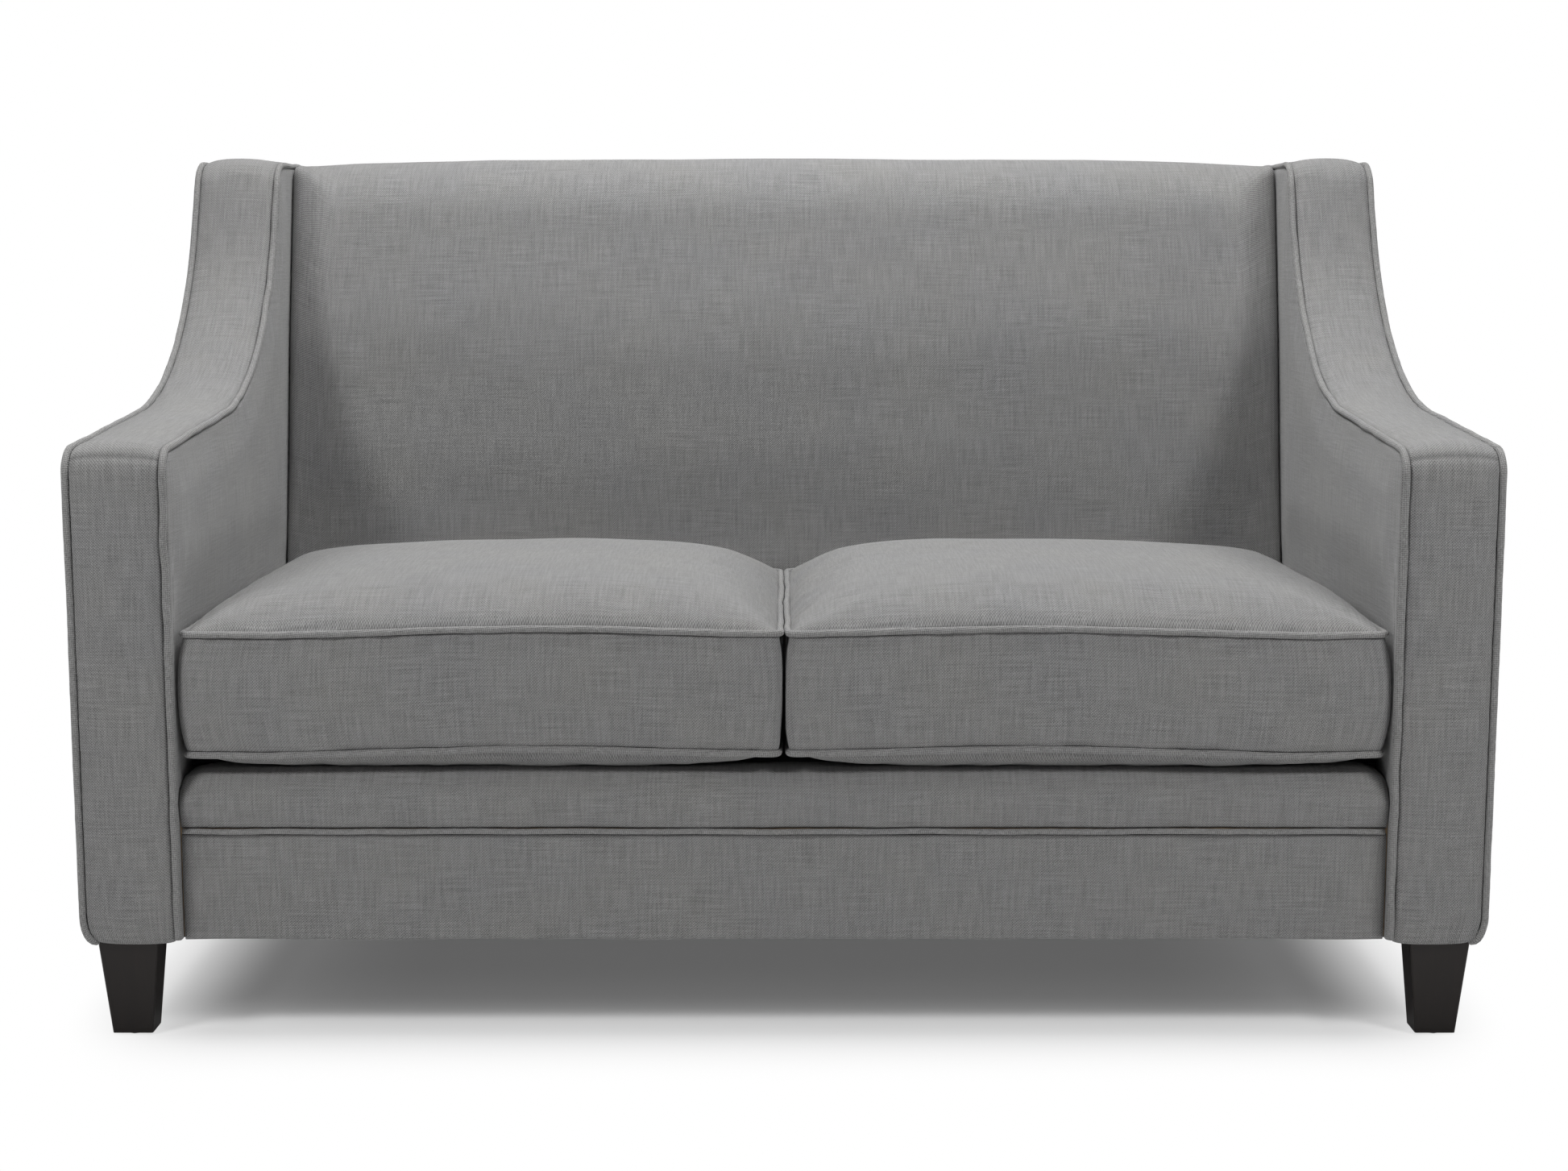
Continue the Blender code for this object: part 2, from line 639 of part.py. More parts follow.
def build_base():
    front = y_at(RAIL_FRONT_DEPTH)
    rear = y_at(BACK_RAIL_DEPTH)
    box(
        "front_rail",
        (-RAIL_END_X, front, FRAME_LOW),
        (RAIL_END_X, front + RAIL_THICKNESS, RAIL_TOP),
        "hardwood",
    )
    box(
        "back_rail",
        (-RAIL_END_X, rear, FRAME_LOW),
        (RAIL_END_X, rear + RAIL_THICKNESS, RAIL_TOP),
        "hardwood",
    )
    inner_front = front + RAIL_THICKNESS + FIT_GAP
    inner_rear = rear - FIT_GAP
    half = RAIL_THICKNESS / 2
    box(
        "centre_rail",
        (-half, inner_front, FRAME_LOW),
        (half, inner_rear, FRAME_LOW + CENTRE_RAIL_HEIGHT),
        "hardwood",
    )

    leg_edge = LEG_X - FRONT_LEG_TOP[0] / 2 - DUST_COVER_MARGIN
    wide = POST_OUTER_X - DUST_COVER_MARGIN
    front_edge = y_at(RAIL_FRONT_DEPTH + DUST_COVER_MARGIN)
    front_notch = y_at(FRAME_INSET + POST_DEPTH + DUST_COVER_MARGIN)
    rear_notch = y_at(BACK_LEG_DEPTH - BACK_LEG_TOP[1] / 2 - DUST_COVER_MARGIN)
    rear_edge = y_at(rear_depth(BASE_HEIGHT) - CLOTH - DUST_COVER_MARGIN)
    half_outline = [
        (leg_edge, front_edge),
        (leg_edge, front_notch),
        (wide, front_notch),
        (wide, rear_notch),
        (leg_edge, rear_notch),
        (leg_edge, rear_edge),
    ]
    outline = half_outline + [(-x, y) for x, y in reversed(half_outline)]
    curve = bpy.data.curves.new("dust_cover", "CURVE")
    curve.dimensions = "2D"
    curve.fill_mode = "BOTH"
    curve.extrude = DUST_COVER / 2
    line = curve.splines.new("POLY")
    line.points.add(len(outline) - 1)
    line.use_cyclic_u = True
    for point, (x, y) in zip(line.points, outline):
        point.co = (x, y, 0, 1)
    place("dust_cover", curve, "black_cloth", (0, 0, BASE_HEIGHT + DUST_COVER / 2))


def border_sheet(name, path):
    """Cloth along the front between the arms."""
    steps = len(path) - 1

    def at(a, b):
        point = path[round(b * steps)]
        return Vector(((2 * a - 1) * SEAT_SIDE_X, y_at(point.x), point.y))

    return sheet(name, 2, steps, at, CLOTH, (0, -1, 1), "grey_cloth")


def build_front():
    seam_low = BORDER_SEAM_HEIGHT - PIPING_CLEARANCE
    seam_high = BORDER_SEAM_HEIGHT + PIPING_CLEARANCE
    low = BASE_HEIGHT
    lower = []
    for step in range(5):
        share = step / 4
        bow = fade(share)
        lower.append(Vector((BORDER_RECESS - LOWER_BORDER_CROWN * bow, low + (seam_low - low) * share)))
    top_turn = [
        (BORDER_RECESS, seam_high),
        (BORDER_RECESS - BORDER_BULGE, (seam_high + DECK_HEIGHT) / 2, BORDER_ROLL_RADIUS),
        (BORDER_RECESS, DECK_HEIGHT, BORDER_ROLL_RADIUS),
        (BORDER_ROLL_DEPTH, DECK_HEIGHT),
    ]
    upper = rounded(top_turn, steps=4)
    border_sheet("lower_front_border", lower)
    border_sheet("upper_front_border", upper)
    y = y_at(RAIL_FRONT_DEPTH - PIPING_CLEARANCE)
    ends = [(-SEAT_SIDE_X, y, BORDER_SEAM_HEIGHT), (SEAT_SIDE_X, y, BORDER_SEAM_HEIGHT)]
    tube("front_border_piping", ends, PIPING_RADIUS, "grey_cloth")

    inner = [p for p in offset(upper, CLOTH + FIT_GAP) if p.y > CLIP_HIGH + FIT_GAP]
    low = CLIP_HIGH + FIT_GAP
    inner = [Vector((inner[0].x, low))] + inner + [Vector((BORDER_ROLL_DEPTH, low))]
    slab("front_edge_roll", inner, -SEAT_SIDE_X + FIT_GAP, SEAT_SIDE_X - FIT_GAP, "foam")


def build_seat():
    front = BORDER_ROLL_DEPTH + FIT_GAP
    half = SEAT_SIDE_X - FIT_GAP
    box(
        "deck_pad",
        (-half, y_at(front), WIRE_HIGH),
        (half, y_at(DECK_REAR_DEPTH), DECK_PAD_TOP),
        "wadding",
    )
    box(
        "deck_cover",
        (-half, y_at(front), DECK_HEIGHT - CLOTH),
        (half, y_at(DECK_REAR_DEPTH), DECK_HEIGHT),
        "black_cloth",
    )

    start = RAIL_FRONT_DEPTH + RAIL_THICKNESS / 2
    stop = BACK_RAIL_DEPTH + RAIL_THICKNESS / 2
    span = stop - start
    pitch = span / (SPRING_BENDS + 1)

    def wire_height(depth):
        return WIRE_LOW + SPRING_RISE * math.sin(math.pi * (depth - start) / span)

    springs = []
    reach = RAIL_END_X - SPRING_EDGE_MARGIN
    bar = SPRING_HALF_WIDTH * SPRING_END_SHARE
    for index in range(SPRING_COUNT):
        x = reach * (2 * index / (SPRING_COUNT - 1) - 1)
        points = [(x + bar, start), (x - bar, start)]
        for bend in range(SPRING_BENDS):
            side = -1 if bend % 2 == 0 else 1
            middle = start + pitch * (bend + 1)
            for flat in (-SPRING_FLAT_SHARE, SPRING_FLAT_SHARE):
                points.append((x + side * SPRING_HALF_WIDTH, middle + pitch * flat))
        points += [(x + bar, stop), (x - bar, stop)]
        shape = [(a, y_at(d), wire_height(d)) for a, d in points]
        springs.append(tube(f"spring_{index}", shape, SPRING_WIRE, "spring_steel", sides=0))
    ties = []
    for share in TIE_WIRE_SHARES:
        depth = start + pitch * round(share * (SPRING_BENDS + 1))
        ends = [(x, y_at(depth), wire_height(depth)) for x in (-TIE_WIRE_REACH, TIE_WIRE_REACH)]
        ties.append(tube(f"tie_{share}", ends, TIE_WIRE, "spring_steel", sides=0))
    bpy.context.view_layer.update()
    unit = merged("seat_spring_unit", springs)
    place("seat_spring_unit", unit, "spring_steel")
    cross = cutter("tie_wires", merged("tie_wires", ties))
    step = bpy.data.objects["seat_spring_unit"].modifiers.new("tie wires", "BOOLEAN")
    step.operation = "UNION"
    step.object = cross

    for name, depth, turned in (("front", start, 1), ("rear", stop, -1)):
        closed = depth - turned * (CLIP_LENGTH / 2)
        opened = depth + turned * (CLIP_LENGTH / 2)
        wall = closed + turned * CLIP_SHEET
        outline = [
            (closed, CLIP_BASE),
            (opened, CLIP_BASE),
            (opened, CLIP_BASE + CLIP_SHEET),
            (wall, CLIP_BASE + CLIP_SHEET),
            (wall, CLIP_HIGH - CLIP_SHEET),
            (opened, CLIP_HIGH - CLIP_SHEET),
            (opened, CLIP_HIGH),
            (closed, CLIP_HIGH),
        ]
        slab(f"{name}_spring_clip_rail", outline, -CLIP_RAIL_END, CLIP_RAIL_END, "zinc")


def build_leg(name, x, depth, top, foot, rake):
    """A tapered leg on its centre line, its foot moved back by the rake."""
    low = GLIDE_THICKNESS + FIT_GAP
    made = bmesh.new()
    bmesh.ops.create_cube(made, size=1)
    for vert in made.verts:
        size = top if vert.co.z > 0 else foot
        shift = 0 if vert.co.z > 0 else rake
        height = LEG_TOP if vert.co.z > 0 else low
        vert.co = Vector((vert.co.x * size[0], vert.co.y * size[1] + shift, height))
    upright = [e for e in made.edges if abs(e.verts[0].co.z - e.verts[1].co.z) > low]
    bmesh.ops.bevel(made, geom=upright, offset=LEG_CHAMFER, segments=1, affect="EDGES")
    mesh = bpy.data.meshes.new(name)
    made.to_mesh(mesh)
    made.free()
    leg = place(name, mesh, "dark_wood", (x, y_at(depth), 0))
    low, high = LEG_TOP - BOLT_IN_LEG, LEG_TOP + BOLT_IN_POST
    bolt = cylinder(name + "_bolt", BOLT_RADIUS, low, high, (x, y_at(depth)))
    step = leg.modifiers.new("bolt", "BOOLEAN")
    step.operation = "UNION"
    step.object = bolt


def build_legs():
    rows = {
        "front": (FRONT_LEG_DEPTH, FRONT_LEG_TOP, FRONT_LEG_FOOT, FRONT_LEG_RAKE, "arm_front_post"),
        "back": (BACK_LEG_DEPTH, BACK_LEG_TOP, BACK_LEG_FOOT, BACK_LEG_RAKE, "back_post"),
    }
    for row, (depth, top, foot, rake, post) in rows.items():
        for word, side in SIDES.items():
            x = side * LEG_X
            name = f"{word}_{row}_leg"
            build_leg(name, x, depth, top, foot, rake)
            foot_centre = (x, y_at(depth) + rake)
            cylinder(name + "_glide", GLIDE_RADIUS, 0, GLIDE_THICKNESS, foot_centre, "nylon")
            hole = cylinder(
                name + "_bolt_hole",
                BOLT_RADIUS + BOLT_CLEARANCE,
                LEG_TOP - BOLT_IN_LEG,
                LEG_TOP + BOLT_IN_POST + BOLT_CLEARANCE,
                (x, y_at(depth)),
            )
            cut(bpy.data.objects[f"{word}_{post}"], hole)


def ring(half_x, half_y, radius, inset, scale=1.0):
    """Points round a rounded rectangle, from the middle of its rear side's left end."""
    points = []
    radius = max(radius - inset, radius / 4)
    for corner in range(4):
        turn = corner * math.pi / 2 + math.pi
        x_sign = (-1, 1, 1, -1)[corner]
        y_sign = (-1, -1, 1, 1)[corner]
        centre = Vector((x_sign * (half_x - inset - radius), y_sign * (half_y - inset - radius)))
        for step in range(CORNER_STEPS + 1):
            angle = turn + step / CORNER_STEPS * math.pi / 2
            points.append(centre + Vector((math.cos(angle), math.sin(angle))) * radius)
        next_x = (1, 1, -1, -1)[corner]
        next_y = (-1, 1, 1, -1)[corner]
        after = Vector((next_x * (half_x - inset - radius), next_y * (half_y - inset - radius)))
        angle = turn + math.pi / 2
        goal = after + Vector((math.cos(angle), math.sin(angle))) * radius
        for step in range(1, SIDE_STEPS):
            points.append(points[-step].lerp(goal, step / SIDE_STEPS))
    return [point * scale for point in points]


def cushion_mesh(name, inset, slotted):
    """A crowned box cushion as rings from its underside to its top, closed at both ends."""
    low, high = CUSHION_LOW_SEAM, CUSHION_HIGH_SEAM
    seam = CUSHION_SEAM_INSET + inset
    levels = []
    for scale, share in reversed(CUSHION_BASE_SHARES):
        levels.append((seam, scale, low - CUSHION_UNDERSIDE * share))
    levels.append((seam, 1, low))
    levels.append((CUSHION_SHOULDER_INSET + inset, 1, low + CUSHION_SHOULDER))
    if slotted:
        levels.append((inset, 1, ZIP_CENTRE - ZIP_HEIGHT / 2))
        levels.append((inset, 1, ZIP_CENTRE + ZIP_HEIGHT / 2))
    else:
        levels.append((inset, 1, ZIP_CENTRE))
    levels.append((CUSHION_SHOULDER_INSET + inset, 1, high - CUSHION_SHOULDER))
    levels.append((seam, 1, high))
    for scale, share in CUSHION_TOP_SHARES:
        levels.append((seam, scale, high + CUSHION_CROWN * share))

    made = bmesh.new()
    rings = []
    for depth, scale, height in levels:
        outline = ring(CUSHION_HALF_X, CUSHION_HALF_Y, CUSHION_CORNER_RADIUS, depth, scale)
        rings.append([made.verts.new((point.x, point.y, height)) for point in outline])
    count = len(rings[0])
    made.faces.new(list(reversed(rings[0])))
    made.faces.new(rings[-1])
    for level, (lower, upper) in enumerate(zip(rings, rings[1:])):
        for index in range(count):
            after = (index + 1) % count
            corners = [lower[index], lower[after], upper[after], upper[index]]
            straight = all(
                abs(vert.co.y - CUSHION_HALF_Y) < FIT_GAP / 10 for vert in corners
            )
            if not (slotted and straight):
                made.faces.new(corners)
    mesh = bpy.data.meshes.new(name)
    made.to_mesh(mesh)
    made.free()
    mesh.shade_smooth()
    return mesh


def build_cushion(word, side):
    spot = bpy.data.objects.new(f"{word}_cushion_place", None)
    spot.location = (side * CUSHION_X, y_at(CUSHION_DEPTH), 0)
    SOFA.objects.link(spot)

    cover = place(
        f"{word}_cushion_cover",
        cushion_mesh(f"{word}_cushion_cover", 0, True),
        "grey_cloth",
        parent=spot,
    )
    skin = cover.modifiers.new("thickness", "SOLIDIFY")
    skin.thickness = CUSHION_COVER
    skin.offset = -1
    skin.use_even_offset = True
    inner = CUSHION_COVER + SOFT_GAP
    core = cushion_mesh(f"{word}_cushion_foam", inner, False)
    for vert in core.vertices:
        above = vert.co.z > ZIP_CENTRE
        vert.co.z += -inner if above else inner
    place(f"{word}_cushion_foam", core, "foam", parent=spot)

    for label, height in (("lower", CUSHION_LOW_SEAM), ("upper", CUSHION_HIGH_SEAM)):
        outline = ring(CUSHION_HALF_X, CUSHION_HALF_Y, CUSHION_CORNER_RADIUS, CUSHION_PIPING_INSET)
        points = [(p.x, p.y, height) for p in outline]
        tube(
            f"{word}_cushion_{label}_piping", points, PIPING_RADIUS, "grey_cloth", closed=True, parent=spot
        )

    slot = CUSHION_HALF_X - CUSHION_CORNER_RADIUS - FIT_GAP
    strip_half = ZIP_HEIGHT / 2 - FIT_GAP
    box(
        f"{word}_cushion_zip",
        (-slot, CUSHION_HALF_Y - ZIP_STRIP, ZIP_CENTRE - strip_half),
        (slot, CUSHION_HALF_Y, ZIP_CENTRE + strip_half),
        "nylon",
        parent=spot,
    )
    start = slot - ZIP_END_MARGIN - ZIP_SLIDER_LENGTH / 2
    face = CUSHION_HALF_Y + FIT_GAP
    half_length, half_height = ZIP_SLIDER_LENGTH / 2, ZIP_SLIDER_HEIGHT / 2
    slider = box(
        f"{word}_cushion_zip_slider",
        (-half_length, 0, -half_height),
        (half_length, ZIP_SLIDER_THICKNESS, half_height),
        "zinc",
        where=(side * start, face, ZIP_CENTRE),
        parent=spot,
    )
    half_pull = ZIP_PULL_WIDTH / 2
    pull_face = (ZIP_SLIDER_THICKNESS - ZIP_PULL_THICKNESS) / 2
    pull = box_cutter(
        f"{word}_zip_pull",
        (-half_pull, pull_face, -ZIP_PULL_LENGTH),
        (half_pull, pull_face + ZIP_PULL_THICKNESS, 0),
    )
    pull.parent = slider
    step = slider.modifiers.new("pull", "BOOLEAN")
    step.operation = "UNION"
    step.object = pull


clear_scene()
SOFA = collection("two_seater_sofa")
CUTTERS = collection("cutters")
for word, side in SIDES.items():
    build_arm(word, side)
build_back()
build_base()
build_front()
build_seat()
build_legs()
for word, side in SIDES.items():
    build_cushion(word, side)
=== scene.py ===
"""The look of the two-seater sofa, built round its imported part.

Metres, +Z up, origin on the floor under the middle. The front faces -Y, left is -X.
"""

import json
import math

import bmesh
import bpy
import numpy as np
from mathutils import Matrix, Vector, noise

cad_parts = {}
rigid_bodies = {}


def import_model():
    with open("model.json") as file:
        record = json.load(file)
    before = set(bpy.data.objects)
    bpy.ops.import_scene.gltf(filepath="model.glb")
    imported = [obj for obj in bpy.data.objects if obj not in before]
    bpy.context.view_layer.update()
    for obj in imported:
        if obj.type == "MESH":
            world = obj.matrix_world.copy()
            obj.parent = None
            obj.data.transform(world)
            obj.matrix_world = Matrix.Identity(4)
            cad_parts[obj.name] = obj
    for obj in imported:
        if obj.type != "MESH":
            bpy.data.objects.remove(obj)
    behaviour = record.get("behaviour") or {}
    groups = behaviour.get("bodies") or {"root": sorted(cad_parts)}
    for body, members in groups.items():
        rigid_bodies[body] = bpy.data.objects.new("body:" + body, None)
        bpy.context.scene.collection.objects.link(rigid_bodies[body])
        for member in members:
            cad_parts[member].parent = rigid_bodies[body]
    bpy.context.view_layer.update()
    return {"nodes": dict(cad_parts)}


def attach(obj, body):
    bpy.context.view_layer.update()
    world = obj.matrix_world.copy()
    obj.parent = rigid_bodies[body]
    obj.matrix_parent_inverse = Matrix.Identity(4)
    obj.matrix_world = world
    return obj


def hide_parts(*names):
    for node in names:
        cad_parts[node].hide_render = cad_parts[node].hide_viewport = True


for old in list(bpy.data.objects):
    bpy.data.objects.remove(old)
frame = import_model()

SIDES = {"left": -1, "right": 1}

# The part's main sizes; a depth counts from the front plane, a height from the floor
HALF_WIDTH = 0.700
FRONT_Y = -0.382
SOFA_FOOT = 0.100
PIPING = 0.0035
CORD_SIDES = 14
POST_SIDE_X = 0.6937
POST_FRONT_DEPTH = 0.0105
OUTER_PIPING_X = 0.6965
INNER_PIPING_X = 0.6025
INSIDE_ARM_X = 0.599
SEAT_SIDE_X = 0.5987
REAR_DEPTH = 0.7685
REAR_HEIGHT = 0.856
REAR_LEAN = math.tan(math.radians(5.0))
DECK_HEIGHT = 0.270
BORDER_SEAM = 0.2096
BORDER_PIPING = 0.0028
DECK_DEPTHS = (0.0582, 0.600)

# The arm's seam line: depth behind the front plane, height, corner radius
ARM_CORNERS = [
    (0.0, 0.588, 0.026),
    (0.4775, 0.6206, 0.330),
    (0.5878, 0.8805, 0.0373),
    (0.7706, 0.8805, 0.018),
]
ARM_FOOT = 0.0985
ARM_FOOT_ROLL = 0.006
INNER_PIPING_FOOT = 0.1015
# How far in and how high the arm's outer edge rounds at its foot
FOOT_ROUNDING = (0.0147, 0.030)
BAND_CROWN = 0.008
BAND_SEAM_STITCH = (0.0013, 0.0006, 0.0006)
INSIDE_ARM_FULLNESS = 0.0042
OUTSIDE_ARM_FULLNESS = 0.0024
BAND_SEAM_HEIGHT = 0.5804

# The inside back's line; a top corner is its depth and its rounding
BACK_FACE_DEPTH = 0.5487
BACK_SEAT_HEIGHT = 0.405
BACK_SLOPE = math.tan(math.radians(10.5))
BACK_KNEE = 0.680
BACK_TOP_CORNER = (0.6778, 0.105)
BACK_TOP_BESIDE_WING = (0.6500, 0.016)
BACK_TOP = 0.8835
BACK_CEILING = 0.8930
BACK_FULLNESS = 0.013
BACK_TOP_FULLNESS = 0.0078
BACK_ROLL = 0.010

# The loose cushions; insets are from a cushion's box at its front, rear, centre side and arm side
CUSHION_X = 0.30
CUSHION_Y = -0.1075
CUSHION_HALF = (0.2985, 0.2690)
# A corner's reach and its power: 2 is a circle, more is squarer
CUSHION_CORNER = (0.0125, 2.2)
CUSHION_SEAM_INSETS = (0.0085, 0.0085, 0.0048, 0.0088)
CUSHION_PIPING_INSETS = (0.0062, 0.0065, 0.0036, 0.0066)
CUSHION_CELL = 0.0085
CUSHION_GATHER = 0.5
UNDERSIDE_HEIGHT = 0.2712
CROWN_RISE = 0.0480
CUSHION_HEIGHTS = (0.2704, 0.4650)
# Each piping seam in front and at the rear: its height, its arch, and its dip near the arm
CUSHION_SEAMS = {
    "upper": ((0.4075, 0.0058, 0.0012), (0.3985, 0.0040, 0.0)),
    "lower": ((0.2872, 0.0053, 0.0016), (0.2890, 0.0030, 0.0)),
}
# The boxing's rows of vertices, counted from either seam
BOXING_HEIGHT = 0.117
BOXING_ROWS = (0.0, 0.0012, 0.0024, 0.0036, 0.0048, 0.0065, 0.009, 0.013, 0.019, 0.027, 0.037, 0.048)
SWELL_FRAMES = 20
SWELL_KEPT = 0.5
SWELL_LIMIT = 0.0035
ZIP_X = 0.29925
ZIP_REACH = 0.2734
ZIP_FACE_Y = 0.1615
ZIP_TAPE_HALF = 0.0052
ZIP_HEIGHT = 0.34955
ZIP_TOOTH = (0.0012, 0.0011, 0.0036)

# The cloth below, notched at its corners for the legs; in Y its front, both notches' ends and its rear
DUST_COVER_X = 0.6907
DUST_COVER_Y = (-0.3642, -0.3229, 0.2610, 0.3149)
LEG_NOTCH_X = 0.6210
STAPLE = (0.0115, 0.0014, 0.0010)

# The cloth
WEAVE_PITCH = 0.00135
SEAM_DEPTH = 0.0020
# How much painted shade darkens the cloth's colour down in a sewn seam's crease, where shade falls
SEAM_SHADE = 0.85

# Camera, floor and lamps
CAMERA_PLACE = (0.0, -2.713, 0.787)
CAMERA_TILT = 81.96
CAMERA_LENS = 55.5
FLOOR_REACH = 14.0
WORLD_STRENGTH = 0.02
LAMP_GOAL = (0.0, 0.0, 0.45)
# Pairs, one each side: name, degrees round from the front, degrees up, distance, size, power
LAMP_PAIRS = [
    ("key", 47.0, 30.0, 2.0, 0.36, 12.2),
    ("low", 34.0, 16.0, 3.2, 0.60, 3.0),
    ("floor_side", 92.0, 14.0, 3.2, 0.60, 9.0),
]
# Name, place, size, power
OVERHEAD = ("overhead", (0.0, 0.15, 3.0), 1.3, 79.0)


def ease(share):
    """0 to 1 with a level start and end."""
    share = np.clip(share, 0.0, 1.0)
    return share * share * (3.0 - 2.0 * share)


def rolled(share, full=0.98):
    """A quarter round: 0 where there is no share, nearly 1 at a full share."""
    return 1 - np.sqrt(1 - np.clip(share, 0, 1) ** 2 * full)


def fading(distance, reach):
    """1 at a seam, falling off over the reach."""
    return np.exp(-np.clip(distance, 0, None) / reach)


def bell(distance, width):
    """1 in a seam's middle, falling off on both sides."""
    return np.exp(-((distance / width) ** 2))


def unevenness(points, size, seed):
    """Smooth hand-made irregularity from about -1 to 1 at each point, with bumps of the given size."""
    shift = Vector((seed * 3.7, seed * -5.1, seed * 1.9))
    flat = np.asarray(points, float).reshape(-1, 3)
    values = [noise.noise(Vector(point) / size + shift) for point in flat]
    return np.array(values).reshape(np.asarray(points).shape[:-1]) * 1.6


# Paths


def rounded(corners, steps):
    """A path through (depth, height, radius) corners; the first and last have no radius."""
    path = [Vector(corners[0][:2])]
    for before, corner, after in zip(corners, corners[1:], corners[2:]):
        here = Vector(corner[:2])
        into = (here - Vector(before[:2])).normalized()
        out = (Vector(after[:2]) - here).normalized()
        turn = into.angle(out)
        side = 1 if into.x * out.y - into.y * out.x > 0 else -1
        start = here - into * corner[2] * math.tan(turn / 2)
        centre = start + Vector((-into.y, into.x)) * side * corner[2]
        for step in range(steps + 1):
            path.append(centre + Matrix.Rotation(side * turn * step / steps, 2) @ (start - centre))
    path.append(Vector(corners[-1][:2]))
    return np.array(path)


def resampled(marks, given_at, points):
    """Points that are given at rising marks, read off at other marks."""
    return np.stack([np.interp(marks, given_at, points[:, axis]) for axis in range(points.shape[1])], axis=1)


def spaced(path, spacing, closed=False):
    """The path cut into equal steps of about the given length, and the length at each point."""
    path = np.asarray(path, float)
    if closed:
        path = np.vstack([path, path[:1]])
    reach = np.concatenate([[0], np.cumsum(np.linalg.norm(np.diff(path, axis=0), axis=1))])
    count = max(2, round(reach[-1] / spacing) + 1)
    marks = np.linspace(0, reach[-1], count)
    points = resampled(marks, reach, path)
    if closed:
        return points[:-1], marks[:-1]
    return points, marks


def outward(path):
    """The unit normal on the left-hand side of a (depth, height) path at each point."""
    run = np.gradient(path, axis=0)
    normal = np.stack([-run[:, 1], run[:, 0]], axis=1)
    return normal / np.linalg.norm(normal, axis=1, keepdims=True)


def swept(x, path):
    """Rows of points: a (depth, height) path repeated at each x."""
    points = np.zeros((len(path), len(x), 3))
    points[..., 0] = x
    points[..., 1:] = path[:, None, :]
    return points


def laid(x, length):
    """The weave's map of rows of points, in metres of cloth."""
    return np.stack(np.meshgrid(x, length), axis=-1)


def arm_path(spacing=0.004, foot_roll=True):
    """The arm's seam line, from the foot up the front and over the scoop to the rear."""
    start = [(0.012, ARM_FOOT), (0.0, ARM_FOOT, ARM_FOOT_ROLL)] if foot_roll else [(0.0, ARM_FOOT)]
    corners = start + ARM_CORNERS + [(REAR_DEPTH, REAR_HEIGHT)]
    return spaced(rounded(corners, 24), spacing)


def foot_pull(height):
    """How far the arm's outer edge draws in near the foot."""
    reach, tall = FOOT_ROUNDING
    return reach * rolled((ARM_FOOT + tall - height) / tall, 0.96)


def edge_pull(path):
    """The same along the arm's seam line, where the rear foot stays straight."""
    return foot_pull(path[:, 1]) * ease((0.30 - path[:, 0]) / 0.25)


# Meshes


def finished(name, mesh, kind, body, stands_for=(), skin=0.0):
    """A named piece with its material, on its body, in place of the named CAD nodes."""
    mesh.materials.clear()
    mesh.materials.append(MATERIALS[kind])
    piece = bpy.data.objects.new(name, mesh)
    bpy.context.scene.collection.objects.link(piece)
    if skin:
        thickness = piece.modifiers.new("cloth thickness", "SOLIDIFY")
        thickness.thickness = skin
        thickness.offset = -1
    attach(piece, body)
    if stands_for:
        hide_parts(*stands_for)
    return piece


def panel(name, points, weave, outwards, stands_for, skin=0.002, kind="cover", crease=None):
    """A cloth panel on the frame, over rows of points whose y counts from the front plane."""
    points[..., 1] += FRONT_Y
    mesh = woven(name, points, weave, outwards=outwards, crease=crease)
    return finished(name, mesh, kind, "frame", stands_for, skin=skin)


def woven(name, points, weave, wrap=False, outwards=None, crease=None):
    """A smooth mesh over rows of points, with the cloth's own metres as its UV map.

    weave has one more column than points where the rows close on themselves. crease is 1 down in
    a sewn seam and 0 away from it; it sets how much painted shade darkens the cloth's colour there.
    """
    rows, columns = points.shape[:2]
    span = columns if wrap else columns - 1
    row, column = np.meshgrid(np.arange(rows - 1), np.arange(span), indexing="ij")
    after = (column + 1) % columns
    below = row + 1
    corners = [(row, column, column), (row, after, column + 1)]
    corners += [(below, after, column + 1), (below, column, column)]
    faces = np.stack([r * columns + c for r, c, _ in corners], axis=-1).reshape(-1, 4)
    loops = np.stack([weave[r, c] for r, _, c in corners], axis=-2).reshape(-1, 4, 2)
    if outwards is not None:
        flat = points.reshape(-1, 3)
        a, b, c = (flat[faces[:, i]] for i in (0, 1, 2))
        if (np.cross(b - a, c - a) @ np.array(outwards, float)).sum() < 0:
            faces, loops = faces[:, ::-1], loops[:, ::-1]
    mesh = bpy.data.meshes.new(name)
    mesh.from_pydata(points.reshape(-1, 3).tolist(), [], faces.tolist())
    layer = mesh.uv_layers.new(name="weave")
    layer.data.foreach_set("uv", loops.astype(np.float32).ravel())
    if crease is not None:
        depth = mesh.attributes.new("crease", "FLOAT", "POINT")
        depth.data.foreach_set("value", np.ascontiguousarray(crease, dtype=np.float32).ravel())
    mesh.shade_smooth()
    return mesh


